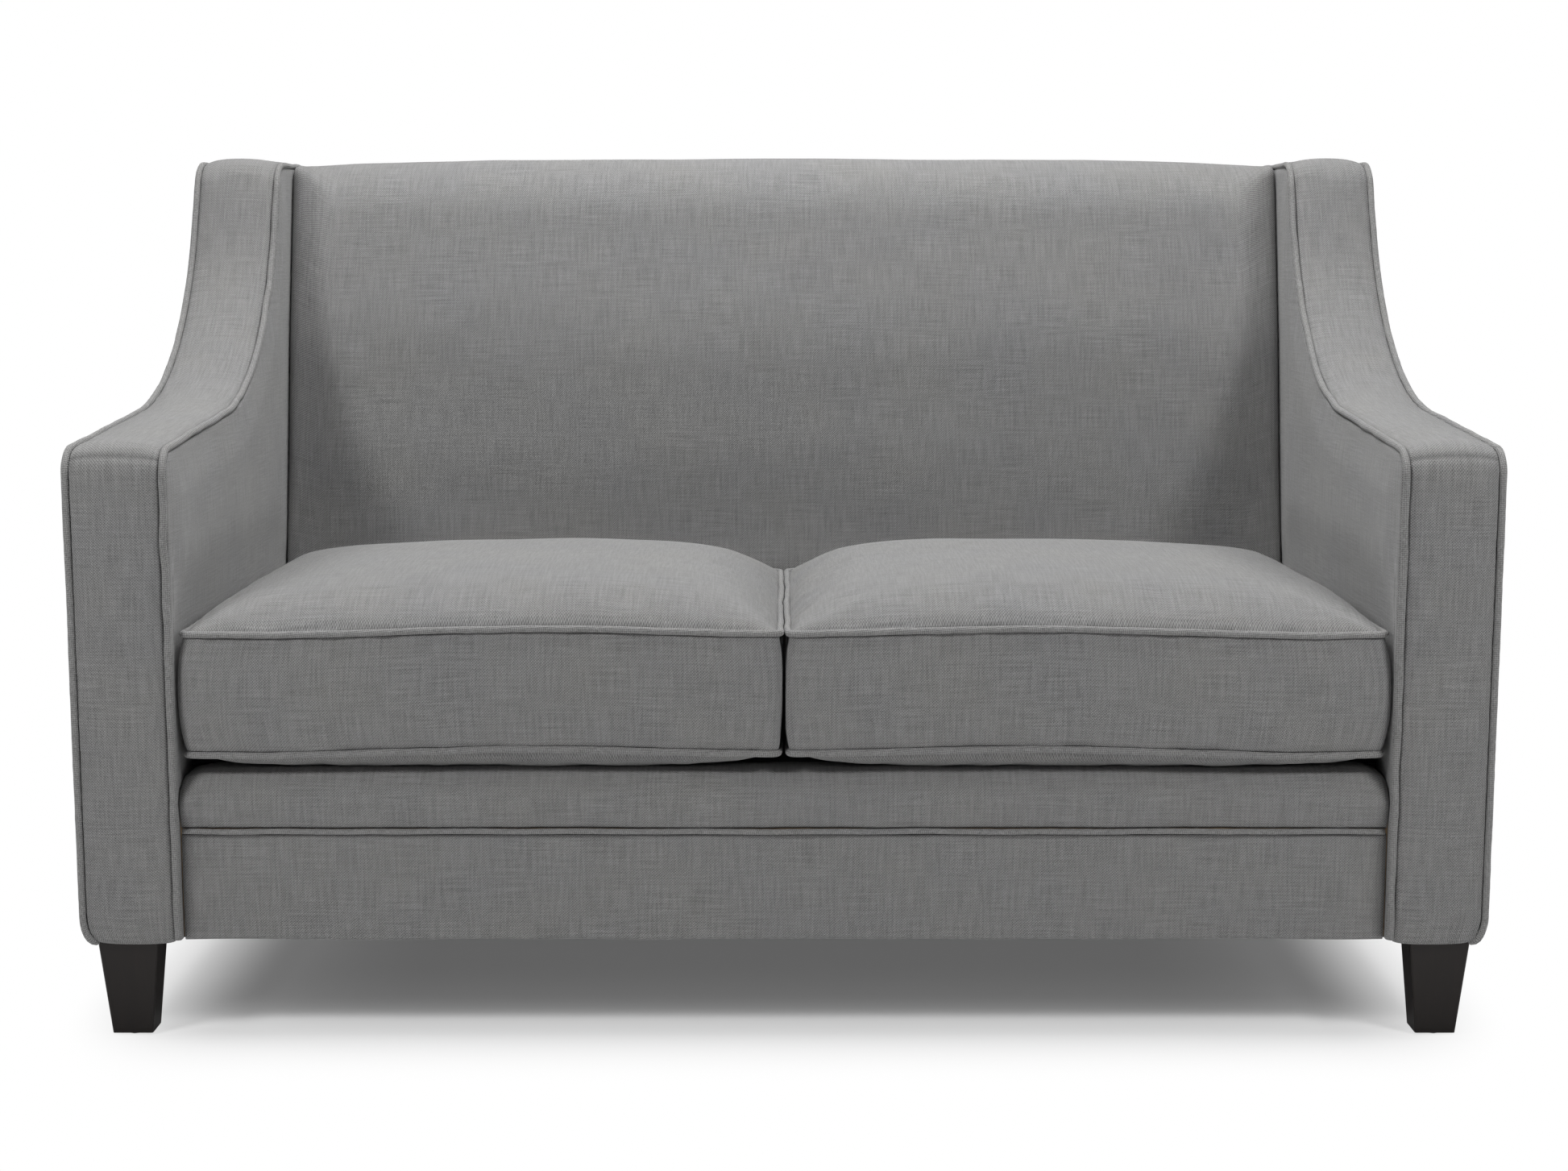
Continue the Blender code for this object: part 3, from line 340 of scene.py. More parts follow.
def cord(name, points, radius, seed, closed=False):
    """Piping: a tube of bias-cut cloth along points, its weave turned to 45 degrees."""
    points = np.asarray(points, float)
    count = len(points)
    if closed:
        run = np.roll(points, -1, axis=0) - np.roll(points, 1, axis=0)
    else:
        run = np.gradient(points, axis=0)
    run /= np.linalg.norm(run, axis=1, keepdims=True)
    side = np.cross(run[0], (0.3, 0.5, 0.8))
    sides_at = []
    for tangent in run:
        side = side - tangent * (side @ tangent)
        side = side / np.linalg.norm(side)
        sides_at.append(side)
    sides_at = np.array(sides_at)
    others = np.cross(run, sides_at)
    if closed:
        first, last = sides_at[0], sides_at[-1]
        twist = math.atan2(np.cross(last, first) @ run[0], last @ first)
        share = np.arange(count)[:, None] / count * twist
        sides_at, others = (
            sides_at * np.cos(share) + others * np.sin(share),
            others * np.cos(share) - sides_at * np.sin(share),
        )
    steps = np.linalg.norm(np.diff(points, axis=0), axis=1)
    length = np.concatenate([[0], np.cumsum(steps)])
    thick = radius * (1 + 0.035 * unevenness(points, 0.009, seed))
    angle = np.arange(CORD_SIDES) / CORD_SIDES * 2 * math.pi
    rings = points[:, None] + thick[:, None, None] * (
        sides_at[:, None] * np.cos(angle)[None, :, None] + others[:, None] * np.sin(angle)[None, :, None]
    )
    around = np.arange(CORD_SIDES + 1) / CORD_SIDES * 2 * math.pi * radius
    weave = np.stack(np.meshgrid(length, around, indexing="ij"), axis=-1)
    if closed:
        rings = np.concatenate([rings, rings[:1]])
        end = length[-1] + np.linalg.norm(points[0] - points[-1])
        weave = np.concatenate([weave, np.stack(np.meshgrid([end], around, indexing="ij"), axis=-1)])
    turned = (weave @ np.array([[1, 1], [-1, 1]]).T) / math.sqrt(2)
    mesh = woven(name, rings, turned, wrap=True)
    made = bmesh.new()
    made.from_mesh(mesh)
    if closed:
        bmesh.ops.remove_doubles(made, verts=made.verts, dist=1e-6)
    else:
        edges = [edge for edge in made.edges if edge.is_boundary]
        bmesh.ops.holes_fill(made, edges=edges, sides=0)
    bmesh.ops.recalc_face_normals(made, faces=made.faces)
    made.to_mesh(mesh)
    made.free()
    mesh.shade_smooth()
    return mesh


def swayed(points, amount, size, seed):
    """Points with small hand-sewn wanders in all three directions."""
    points = np.asarray(points, float)
    moved = [unevenness(points, size, seed + step) for step in range(3)]
    return points + np.stack(moved, axis=-1) * amount


# Small repeated things


def repeated(name, points, turns, size, unevenness_share, seed, kind, body):
    """One small rounded block at each point, turned as given, laid out by Geometry Nodes."""
    places = bpy.data.meshes.new(name)
    places.from_pydata(np.asarray(points, float).tolist(), [], [])
    turn = places.attributes.new("turn", "FLOAT_VECTOR", "POINT")
    turns = np.broadcast_to(np.asarray(turns, np.float32), (len(points), 3))
    turn.data.foreach_set("vector", turns.ravel())

    tree = bpy.data.node_groups.new(name, "GeometryNodeTree")
    tree.interface.new_socket("Geometry", in_out="INPUT", socket_type="NodeSocketGeometry")
    named = {}
    values = {"Size": size, "Unevenness": unevenness_share, "Seed": seed, "Finish": MATERIALS[kind]}
    for label, sort in zip(values, ("Vector", "Float", "Int", "Material")):
        socket = tree.interface.new_socket(label, in_out="INPUT", socket_type=f"NodeSocket{sort}")
        named[label] = socket.identifier
    tree.interface.new_socket("Geometry", in_out="OUTPUT", socket_type="NodeSocketGeometry")
    given = tree.nodes.new("NodeGroupInput").outputs

    def node(kind_of_node, settings, sockets):
        made = tree.nodes.new(kind_of_node)
        for key, value in settings.items():
            setattr(made, key, value)
        for key, value in sockets.items():
            socket = Finish.socket(made.inputs, key)
            if isinstance(value, bpy.types.NodeSocket):
                tree.links.new(value, socket)
            else:
                socket.default_value = value
        return made.outputs

    block = node("GeometryNodeMeshCube", {}, {"Size": given["Size"]})["Mesh"]
    rounded_block = node("GeometryNodeSubdivisionSurface", {}, {"Mesh": block, "Level": 1})["Mesh"]
    attribute = node("GeometryNodeInputNamedAttribute", {"data_type": "FLOAT_VECTOR"}, {"Name": "turn"})[0]
    low = node("ShaderNodeMath", {"operation": "SUBTRACT"}, {0: 1.0, 1: given["Unevenness"]})[0]
    high = node("ShaderNodeMath", {"operation": "ADD"}, {0: 1.0, 1: given["Unevenness"]})[0]
    draw = {"Min": low, "Max": high, "Seed": given["Seed"]}
    drawn = node("FunctionNodeRandomValue", {"data_type": "FLOAT"}, draw)
    scale = next(socket for socket in drawn if socket.enabled)
    placing = {"Points": given["Geometry"], "Instance": rounded_block, "Rotation": attribute, "Scale": scale}
    copies = node("GeometryNodeInstanceOnPoints", {}, placing)[0]
    real = node("GeometryNodeRealizeInstances", {}, {"Geometry": copies})[0]
    finish = node("GeometryNodeSetMaterial", {}, {"Geometry": real, "Material": given["Finish"]})[0]
    tree.links.new(finish, tree.nodes.new("NodeGroupOutput").inputs[0])

    maker = bpy.data.objects.new(f"{name}_places", places)
    bpy.context.scene.collection.objects.link(maker)
    modifier = maker.modifiers.new("repeat", "NODES")
    modifier.node_group = tree
    for label, value in values.items():
        modifier[named[label]] = value
    bpy.context.view_layer.update()
    mesh = bpy.data.meshes.new_from_object(maker.evaluated_get(bpy.context.evaluated_depsgraph_get()))
    mesh.name = name
    bpy.data.objects.remove(maker)
    mesh.shade_smooth()
    return finished(name, mesh, kind, body)


# Shader maths


class Value:
    """A number that varies over a surface. Sums on it add Math nodes."""

    def __init__(self, finish, socket):
        self.finish = finish
        self.socket = socket

    def maths(self, operation, *others, reverse=False):
        operands = [self, *others]
        if reverse:
            operands.reverse()
        return self.finish.node("ShaderNodeMath", {"operation": operation}, dict(enumerate(operands)))

    def __add__(self, other):
        return self.maths("ADD", other)

    def __sub__(self, other):
        return self.maths("SUBTRACT", other)

    def __rsub__(self, other):
        return self.maths("SUBTRACT", other, reverse=True)

    def __mul__(self, other):
        return self.maths("MULTIPLY", other)

    def __truediv__(self, other):
        return self.maths("DIVIDE", other)

    def __pow__(self, other):
        return self.maths("POWER", other)

    __radd__ = __add__
    __rmul__ = __mul__

    def cosine(self):
        return self.maths("COSINE")

    def clamped(self):
        return self.finish.node("ShaderNodeClamp", {}, {"Value": self})


class Finish:
    """A material in the making, with one Principled shader."""

    def __init__(self, name, roughness, metallic=0.0, **constants):
        self.material = bpy.data.materials.new(name)
        self.material.use_nodes = True
        self.tree = self.material.node_tree
        self.shader = self.tree.nodes["Principled BSDF"]
        self.shader.inputs["Roughness"].default_value = roughness
        self.shader.inputs["Metallic"].default_value = metallic
        for socket, value in constants.items():
            self.shader.inputs[socket.replace("_", " ").title().replace("Ior", "IOR")].default_value = value

    def node(self, kind, settings, sockets, output=0):
        """A node of a type, with its settings made first, then its sockets' values or links."""
        made = self.tree.nodes.new(kind)
        for key, value in settings.items():
            if key == "stops":
                ramp = made.color_ramp.elements
                while len(ramp) < len(value):
                    ramp.new(0.5)
                for stop, (where, colour) in zip(ramp, value):
                    stop.position = where
                    stop.color = (*colour, 1.0)
            else:
                setattr(made, key, value)
        for key, value in sockets.items():
            socket = self.socket(made.inputs, key)
            if isinstance(value, Value):
                self.tree.links.new(value.socket, socket)
            else:
                socket.default_value = value
        return Value(self, self.socket(made.outputs, output))

    @staticmethod
    def socket(sockets, key):
        if isinstance(key, int):
            return sockets[key]
        for socket in sockets:
            if socket.identifier == key or (socket.name == key and socket.enabled):
                return socket
        raise KeyError(key)

    def blend(self, low, high, share, how="MIX"):
        """A colour between two, or the two combined in the named way."""
        low, high = (colour if isinstance(colour, Value) else (*colour, 1.0) for colour in (low, high))
        sockets = {"Factor_Float": share, "A_Color": low, "B_Color": high}
        return self.node("ShaderNodeMix", {"data_type": "RGBA", "blend_type": how}, sockets, "Result_Color")

    def grey(self, value):
        """A number as a grey colour."""
        return self.node("ShaderNodeCombineColor", {}, {"Red": value, "Green": value, "Blue": value})

    def noise(self, where, scale, detail=2.0, roughness=0.5, distortion=0.0):
        sockets = {"Scale": scale, "Detail": detail, "Roughness": roughness, "Distortion": distortion}
        return self.node("ShaderNodeTexNoise", {"noise_dimensions": "3D"}, {"Vector": where, **sockets})

    def fibres(self, where, scale, detail=2.0, roughness=0.6, distortion=0.0):
        """Noise drawn out by its own scale in each direction, for grain and threads."""
        place = self.node("ShaderNodeMapping", {}, {"Vector": where, "Scale": scale})
        return self.noise(place, 1.0, detail, roughness, distortion)

    def object_place(self):
        """The piece's own coordinates, in metres."""
        return self.node("ShaderNodeTexCoord", {}, {}, "Object")

    def weave_place(self):
        """The weave's map, in metres of cloth."""
        return self.node("ShaderNodeUVMap", {"uv_map": "weave"}, {})

    def parts(self, where):
        """The first two coordinates."""
        split = self.node("ShaderNodeSeparateXYZ", {}, {"Vector": where})
        return split, Value(self, split.socket.node.outputs[1])

    def colour(self, value):
        self.tree.links.new(value.socket, self.shader.inputs["Base Color"])

    def roughness(self, value):
        self.tree.links.new(value.socket, self.shader.inputs["Roughness"])

    def bump(self, height, depth):
        bumped = self.node("ShaderNodeBump", {}, {"Height": height, "Distance": depth})
        self.tree.links.new(bumped.socket, self.shader.inputs["Normal"])


def upholstery(name, tone, contrast, relief):
    """A mid grey hopsack whose dots stand in slanting rows, with uneven yarns both ways and painted shade in
    its seams.
    """
    cloth = Finish(name, 0.92, sheen_weight=0.22, sheen_roughness=0.5, specular_ior_level=0.22)
    place = cloth.weave_place()
    wander = cloth.noise(place, 60.0, 1.0) - 0.5
    across, along = cloth.parts(place)
    turn = math.pi / WEAVE_PITCH
    warp = ((across + wander * 0.0005) * turn).cosine()
    weft = ((along + across * 0.12 + wander * 0.0005) * turn).cosine()
    floats = warp * weft
    upright = cloth.fibres(place, (430.0, 24.0, 1.0)) - 0.5
    level = cloth.fibres(place, (20.0, 520.0, 1.0)) - 0.5
    patchy = (cloth.noise(place, 13.0, 2.0, 0.5) * 3.0 - 1.0).clamped()
    cloudy = cloth.noise(place, 9.0, 3.0, 0.55) - 0.5
    fuzz = cloth.noise(place, 800.0, 2.0, 0.7) - 0.5
    slubs = upright * 0.66 + level * (patchy * 0.62 + 0.22)
    light = 1.0 + floats * contrast + slubs + cloudy * 0.08 + fuzz * 0.95
    warmth = cloth.blend((1.0, 1.0, 1.01), (1.01, 1.0, 0.975), (cloudy * 2.0 + 0.5).clamped())
    # Painted shade: the colour is darkened down in the sewn seams' creases, where shade falls, by the crease
    # attribute
    sewn = cloth.node("ShaderNodeAttribute", {"attribute_name": "crease"}, {}, "Fac")
    shade = light * (1.0 - sewn.clamped() * SEAM_SHADE)
    base = cloth.blend(cloth.grey(shade), (tone, tone, tone), 1.0, "MULTIPLY")
    cloth.colour(cloth.blend(base, warmth, 1.0, "MULTIPLY"))
    cloth.roughness(0.90 + floats * 0.03 + fuzz * 0.10)
    cloth.bump(floats * 0.6 + slubs * 0.5 + fuzz * 0.5, relief)
    return cloth.material


def wood(name, dark, pale, roughness, grain_scale, relief, **constants):
    """Straight-grained wood whose grain runs up the piece."""
    timber = Finish(name, roughness, **constants)
    place = timber.object_place()
    broad = timber.fibres(place, grain_scale, 4.0, 0.6, 0.4)
    fine = timber.fibres(place, [3.5 * s for s in grain_scale], 3.0, 0.7)
    share = (broad * 0.65 + fine * 0.55 - 0.1).clamped()
    timber.colour(timber.blend(dark, pale, share))
    timber.roughness(roughness + (fine - 0.5) * 0.16)
    timber.bump(fine * 0.7 + broad * 0.3, relief)
    return timber.material


def metal(name, colour, worn, roughness):
    """Bare or plated steel, clouded and drawn with fine scratches."""
    plated = Finish(name, roughness, 1.0)
    place = plated.object_place()
    cloudy = plated.noise(place, 130.0, 4.0, 0.6)
    scratched = plated.fibres(place, (60.0, 1900.0, 900.0))
    plated.colour(plated.blend(colour, worn, (cloudy * 1.6 - 0.3).clamped()))
    plated.roughness(roughness + (cloudy - 0.5) * 0.25 + (scratched - 0.5) * 0.15)
    plated.bump(scratched, 0.00008)
    return plated.material


def foamy(name, colour, shade, cell, relief):
    """Foam or wadding with open cells of the given size."""
    soft = Finish(name, 0.95, specular_ior_level=0.2)
    place = soft.object_place()
    cells = soft.node("ShaderNodeTexVoronoi", {"feature": "F1"}, {"Vector": place, "Scale": 1 / cell})
    cloudy = soft.noise(place, 20.0, 4.0, 0.6)
    soft.colour(soft.blend(shade, colour, (cells * 1.3 + cloudy * 0.5 - 0.1).clamped()))
    soft.bump(cells, relief)
    return soft.material


def plain_cloth(name, dark, pale, pitch, relief):
    """A thin woven lining on Object coordinates, its threads along X and Y."""
    lining = Finish(name, 0.95, sheen_weight=0.15, specular_ior_level=0.2)
    place = lining.object_place()
    across, along = lining.parts(place)
    turn = 2 * math.pi / pitch
    threads = (across * turn).cosine() + (along * turn).cosine()
    cloudy = lining.noise(place, 25.0, 4.0, 0.6)
    fuzz = lining.noise(place, 700.0, 2.0, 0.6)
    share = (threads * 0.12 + cloudy * 0.5 + fuzz * 0.5).clamped()
    lining.colour(lining.blend(dark, pale, share))
    lining.bump(threads * 0.3 + fuzz, relief)
    return lining.material


def strap_cloth(name):
    """Jute-coloured webbing with fine ribs and uneven yarns."""
    strap = Finish(name, 0.9, sheen_weight=0.2)
    place = strap.object_place()
    across, _ = strap.parts(place)
    ribs = (across * (2 * math.pi / 0.0032)).cosine()
    yarn = strap.fibres(place, (300.0, 300.0, 900.0))
    cloudy = strap.noise(place, 30.0, 3.0, 0.6)
    share = (ribs * 0.15 + yarn * 0.7 + cloudy * 0.3 - 0.1).clamped()
    strap.colour(strap.blend((0.22, 0.16, 0.09), (0.52, 0.43, 0.29), share))
    strap.bump(ribs * 0.4 + yarn, 0.0004)
    return strap.material


def moulded(name, colour, pale):
    """Moulded plastic with a fine speckle."""
    plastic = Finish(name, 0.5)
    place = plastic.object_place()
    speckle = plastic.noise(place, 1400.0, 2.0, 0.6)
    cloudy = plastic.noise(place, 60.0, 3.0, 0.6)
    plastic.colour(plastic.blend(colour, pale, cloudy))
    plastic.roughness(0.42 + cloudy * 0.18)
    plastic.bump(speckle, 0.00012)
    return plastic.material


MATERIALS = {
    "cover": upholstery("grey_hopsack", 0.205, 0.40, 0.00030),
    "piping": upholstery("grey_hopsack_bias", 0.215, 0.42, 0.00030),
    "dark_wood": wood(
        "stained_leg_wood",
        (0.0050, 0.0034, 0.0028),
        (0.0135, 0.0090, 0.0072),
        0.42,
        (90.0, 90.0, 6.0),
        0.00008,
        specular_ior_level=0.28,
        coat_weight=0.06,
        coat_roughness=0.35,
    ),
    "hardwood": wood("frame_hardwood", (0.30, 0.19, 0.10), (0.56, 0.40, 0.24), 0.62, (12, 60, 60), 0.0003),
    "plywood": wood("arm_plywood", (0.36, 0.24, 0.13), (0.66, 0.50, 0.32), 0.66, (70, 8, 26), 0.0003),
    "black_cloth": plain_cloth("black_cambric", (0.008, 0.008, 0.009), (0.034, 0.034, 0.037), 0.0011, 0.0002),
    "foam": foamy("seat_foam", (0.80, 0.76, 0.62), (0.58, 0.53, 0.38), 0.0016, 0.0004),
    "wadding": foamy("polyester_wadding", (0.86, 0.86, 0.84), (0.70, 0.70, 0.69), 0.004, 0.0012),
    "spring_steel": metal("tempered_steel", (0.30, 0.30, 0.31), (0.17, 0.16, 0.15), 0.42),
    "zinc": metal("zinc_plate", (0.60, 0.60, 0.57), (0.42, 0.42, 0.40), 0.36),
    "webbing": strap_cloth("jute_webbing"),
    "nylon": moulded("black_nylon", (0.030, 0.030, 0.033), (0.052, 0.052, 0.056)),
    "zip_tape": plain_cloth("zip_tape", (0.060, 0.060, 0.062), (0.115, 0.115, 0.118), 0.0009, 0.0001),
    "zip_coil": moulded("zip_coil", (0.070, 0.070, 0.073), (0.110, 0.110, 0.114)),
}
SLOTS = {kind: kind for kind in MATERIALS}
SLOTS["cover"] = SLOTS["piping"] = "grey_cloth"
SLOTS["zip_tape"] = SLOTS["zip_coil"] = "nylon"


def carried_over():
    """The CAD nodes that stay in sight or stay inside, with their finer materials."""
    endings = {
        "_leg": "dark_wood",
        "_glide": "nylon",
        "_post": "hardwood",
        "_board": "plywood",
        "_rail": "hardwood",
        "_bar": "hardwood",
        "clip_rail": "zinc",
        "_unit": "spring_steel",
        "_webbing": "webbing",
        "_foam": "foam",
        "_padding": "wadding",
        "_pad": "wadding",
        "_zip": "nylon",
        "zip_slider": "zinc",
        "dust_cover": "black_cloth",
    }
    for name, node in frame["nodes"].items():
        kind = "cover"
        for ending, found in endings.items():
            if name.endswith(ending):
                kind = found
        node.data.materials.clear()
        node.data.materials.append(MATERIALS[kind])


# Arms


def arm_band(word, side):
    """The crowned strip over the arm's front, scoop and wing, drawn down into both piping seams."""
    path, length = arm_path()
    low_x, high_x = INNER_PIPING_X + PIPING * 0.8, OUTER_PIPING_X - PIPING * 0.8
    width = high_x - low_x
    share = (1 - np.cos(np.linspace(0, math.pi, 25))) / 2
    near = np.array([0.0, 0.008, 0.018, 0.030])
    share = np.concatenate([near, share[4:-4], 1 - near[::-1]])
    edge = np.minimum(share, 1 - share) * width
    arch = 1 - np.abs(2 * share - 1) ** 2.3
    crown = BAND_CROWN * (0.62 * arch + 0.38 * (1 - fading(edge, 0.0065))) - 0.0034 * fading(edge, 0.0014)
    calm = ease((length[-1] - length) / 0.035) * (0.35 + 0.65 * ease((length - 0.012) / 0.03))
    rise = crown * calm[:, None]
    x = low_x + width * share
    at = swept(x, path)
    at[..., 0] -= edge_pull(path)[:, None] * share**1.5
    at[..., 0] *= side
    rise += unevenness(at, 0.085, 3 + side) * 0.0007 * ease(edge / 0.012)
    rise += unevenness(at * (0.35, 1, 1), 0.012, 9 + side) * 0.00045 * fading(edge, 0.010)
    upright = slice(len(path) // 2)
    beside = np.abs(length - np.interp(BAND_SEAM_HEIGHT, path[upright, 1], length[upright]))
    sewn = 0.0003 * bell(beside - 0.006, 0.004) - 0.0009 * bell(beside, 0.0018)
    rise += sewn[:, None] * ease(edge / 0.006)
    # Painted shade: how much the colour darkens along the band's piping seams and across its stitched seam
    crease = np.maximum(ease(1 - edge / 0.0017), 0.55 * bell(beside, 0.0014)[:, None])
    at[..., 1:] += outward(path)[:, None, :] * rise[..., None]
    name = f"{word}_arm_band"
    weave = laid(x + side * 0.013, length)
    band = panel(name, at, weave, (0, -1, 1), (f"{name}_cover", f"{name}_padding"), crease=crease)
    row = at[np.argmin(beside)]
    across = np.arange(low_x + 0.004, high_x - 0.003, 0.0033)
    row = row[np.argsort(row[:, 0] * side)]
    stitches = np.column_stack([across * side, resampled(across, row[:, 0] * side, row[:, 1:])])
    name = f"{word}_arm_seam_stitches"
    repeated(name, stitches, (0, 0, 0), BAND_SEAM_STITCH, 0.12, 5 + side, "piping", "frame")


def arm_piping(word, side):
    """The two pipings beside the band. Only the outer one is drawn in and rolled under at the foot."""
    both = ("inner", INNER_PIPING_X, 0.0008, 21), ("outer", OUTER_PIPING_X, 0.0005, 31)
    for label, centre, wander, seed in both:
        outer = label == "outer"
        path, _ = arm_path(0.0035, foot_roll=outer)
        points = swept(np.array([centre]), path)[:, 0]
        if outer:
            points[:, 0] -= edge_pull(path)
        else:
            points = points[points[:, 2] > INNER_PIPING_FOOT]
        points = swayed(points * (side, 1, 1), wander, 0.040, seed + side)
        limit = HALF_WIDTH - PIPING * 1.04
        points[:, 0] = np.clip(points[:, 0], -limit, limit)
        points[:, 1] += FRONT_Y
        name = f"{word}_arm_{label}_welt"
        welt = cord(name, points, PIPING, seed)
        finished(name, welt, "piping", "frame", (f"{word}_arm_{label}_piping",))


def top_of_arm(depth, inset):
    """The height of the arm's outline, drawn in from the seam, at a depth."""
    path, _ = arm_path(0.002, foot_roll=False)
    path = path - outward(path) * inset
    keep = np.concatenate([[True], np.diff(path[:, 0]) > 1e-6]) & (path[:, 0] < REAR_DEPTH - inset)
    kept = path[keep]
    order = np.argsort(kept[:, 0])
    return np.interp(depth, kept[order, 0], kept[order, 1])


def inside_arm(word, side):
    """The arm's inner panel: a padded face that runs down behind the seat and behind the back."""
    front, strip, back = PIPING, 0.0142, 0.655
    runs = (front, strip, 5), (strip + 0.0006, back, 150), (back + 0.0006, 0.748, 24)
    depth = np.concatenate([np.linspace(*run) for run in runs])
    below_border, beside_deck, behind_back = 0.1008, 0.2525, 0.790
    low = np.where(depth > back + 0.0003, behind_back, beside_deck)
    low = np.where(depth <= strip + 1e-6, below_border, low)
    high = top_of_arm(depth, PIPING * 0.9)
    z = low + (high - low) * (1 - (1 - np.linspace(0, 1, 72)) ** 1.25)[:, None]
    u = np.broadcast_to(depth, z.shape)
    to_top, to_front = high - z, u - front
    to_back = BACK_FACE_DEPTH + np.clip(z - BACK_SEAT_HEIGHT, 0, None) * BACK_SLOPE - u
    points = np.stack([np.full(z.shape, INSIDE_ARM_X), u, z], axis=-1) * (side, 1, 1)
    swell = INSIDE_ARM_FULLNESS * ease(to_top / 0.05) * ease(to_front / 0.05) * ease(to_back / 0.06)
    swell *= ease((z - 0.425) / 0.07)
    calm = ease(to_back / 0.03) * ease(to_front / 0.02) * (0.25 + 0.75 * ease((z - 0.42) / 0.05))
    swell += unevenness(points, 0.10, 12 + side) * 0.0006 * calm
    swell -= SEAM_DEPTH * fading(np.minimum(to_top, to_front), 0.0018)
    pressed = 0.0008 * ease((0.44 - z) / 0.03) * ease(to_front / 0.01)
    points[..., 0] = (INSIDE_ARM_X + pressed - np.clip(swell, -0.002, 0.0048)) * side
    name = f"{word}_inside_arm"
    weave = np.stack([u + 0.007, z], axis=-1)
    made = panel(f"{name}_panel", points, weave, (-side, 0, 0), (f"{name}_cover", f"{name}_foam"))


def outside_arm(word, side):
    """The arm's outer panel, pulled flat over the post and board and turned under at the foot."""
    along = np.linspace(0, 1, 150)
    last = REAR_DEPTH + 0.001
    depth = PIPING + (last - PIPING) * along
    corner_depth = REAR_DEPTH - 0.006
    high = top_of_arm(np.minimum(depth, corner_depth), PIPING * 0.9)
    high = np.where(depth > corner_depth, np.minimum(high, REAR_HEIGHT + 0.012), high)
    low = 0.0992
    z = low + (high - low) * (np.linspace(0, 1, 90) ** 1.15)[:, None]
    lean = np.clip(REAR_HEIGHT - z, 0, None) * REAR_LEAN
    u = depth - lean * ease((along - 0.8) / 0.2)
    to_front, to_top, to_rear = u - PIPING, high - z, np.clip(last - lean - u, 0, None)
    points = np.stack([np.full(z.shape, OUTER_PIPING_X), u, z], axis=-1) * (side, 1, 1)
    swell = OUTSIDE_ARM_FULLNESS * ease(to_top / 0.06) * ease(to_front / 0.06) * ease(to_rear / 0.06)
    swell *= ease((z - 0.1) / 0.08)
    swell += unevenness(points, 0.16, 17 + side) * 0.0006 * ease(to_front / 0.03) * ease(to_rear / 0.03)
    swell -= SEAM_DEPTH * fading(np.minimum(to_top, to_front), 0.0018)
    room = OUTER_PIPING_X - POST_SIDE_X - 0.0005
    swell = np.maximum(swell, -room * (u > POST_FRONT_DEPTH))
    turned = rolled((0.112 - z) / 0.012)
    corner = rolled((0.005 - to_rear) / 0.005)
    inward = np.maximum(turned * 0.006, foot_pull(z) * ease((0.12 - u) / 0.12)) + corner * 0.004
    inward += (np.minimum(inward, room) - inward) * ease(to_front / (POST_FRONT_DEPTH - PIPING))
    points[..., 0] = np.minimum(OUTER_PIPING_X + np.clip(swell, -0.002, 0.0030) - inward, HALF_WIDTH) * side
    name = f"{word}_outside_arm"
    weave = np.stack([u + 0.021, z], axis=-1)
    made = panel(f"{name}_panel", points, weave, (side, 0, 0), (f"{name}_cover",), skin=0.0015)


# Back


def back_path(top_corner):
    """The back's side outline, with the given (depth, rounding) of its upper front corner."""
    knee_depth = BACK_FACE_DEPTH + (BACK_KNEE - BACK_SEAT_HEIGHT) * BACK_SLOPE
    corners = [
        (BACK_FACE_DEPTH, DECK_HEIGHT + 0.0008),
        (BACK_FACE_DEPTH, BACK_SEAT_HEIGHT, 0.150),
        (knee_depth, BACK_KNEE, 0.5),
        (top_corner[0], BACK_TOP, top_corner[1]),
        (REAR_DEPTH + (BACK_TOP - REAR_HEIGHT) * REAR_LEAN, BACK_TOP, 0.018),
        (REAR_DEPTH, REAR_HEIGHT),
    ]
    return spaced(rounded(corners, 20), 0.0045)


def inside_back():
    """One tight panel from the seat, over the top, to the rear seam, rolled back beside both wings."""
    path, length = back_path(BACK_TOP_CORNER)
    beside_wing, beside_length = back_path(BACK_TOP_BESIDE_WING)
    beside_wing = resampled(length / length[-1] * beside_length[-1], beside_length, beside_wing)
    normal = outward(path)
    half = SEAT_SIDE_X - 0.0012
    spread = np.linspace(-1, 1, 150)
    x = np.sign(spread) * (1 - (1 - np.abs(spread)) ** 1.35) * half
    edge = half - np.abs(x)
    level, face = np.clip(normal[:, 1], 0, 1), np.clip(-normal[:, 0], 0, 1)
    rise = ease((path[:, 1] - BACK_SEAT_HEIGHT) / 0.15)
    middle = np.sin(np.clip(edge / half, 0, 1) * math.pi / 2) ** 0.8
    top_fill = BACK_TOP_FULLNESS - 0.0095 * fading(edge, 0.085)
    lift = (BACK_FULLNESS * rise * face)[:, None] * middle + (level**2)[:, None] * top_fill
    rolled_share = np.clip(face * (0.35 + 0.65 * rise) + level * 0.45, 0, 1)
    lift -= rolled_share[:, None] * BACK_ROLL * rolled(1 - edge / 0.012, 0.97)
    points = swept(x, path)
    points[..., 1:] += (beside_wing - path)[:, None, :] * ease(1 - edge / 0.050)[None, :, None]
    soft = ease(edge / 0.03) * ease((length[-1] - length) / 0.05)[:, None]
    lift += (unevenness(points, 0.19, 4) * 0.0013 + unevenness(points, 0.06, 5) * 0.0004) * soft
    points[..., 1:] += normal[:, None, :] * lift[..., None]
    points[..., 2] = np.minimum(points[..., 2], BACK_CEILING)
    made = panel("inside_back_panel", points, laid(x, length), (0, -1, 1), ("inside_back_cover", "back_foam"))


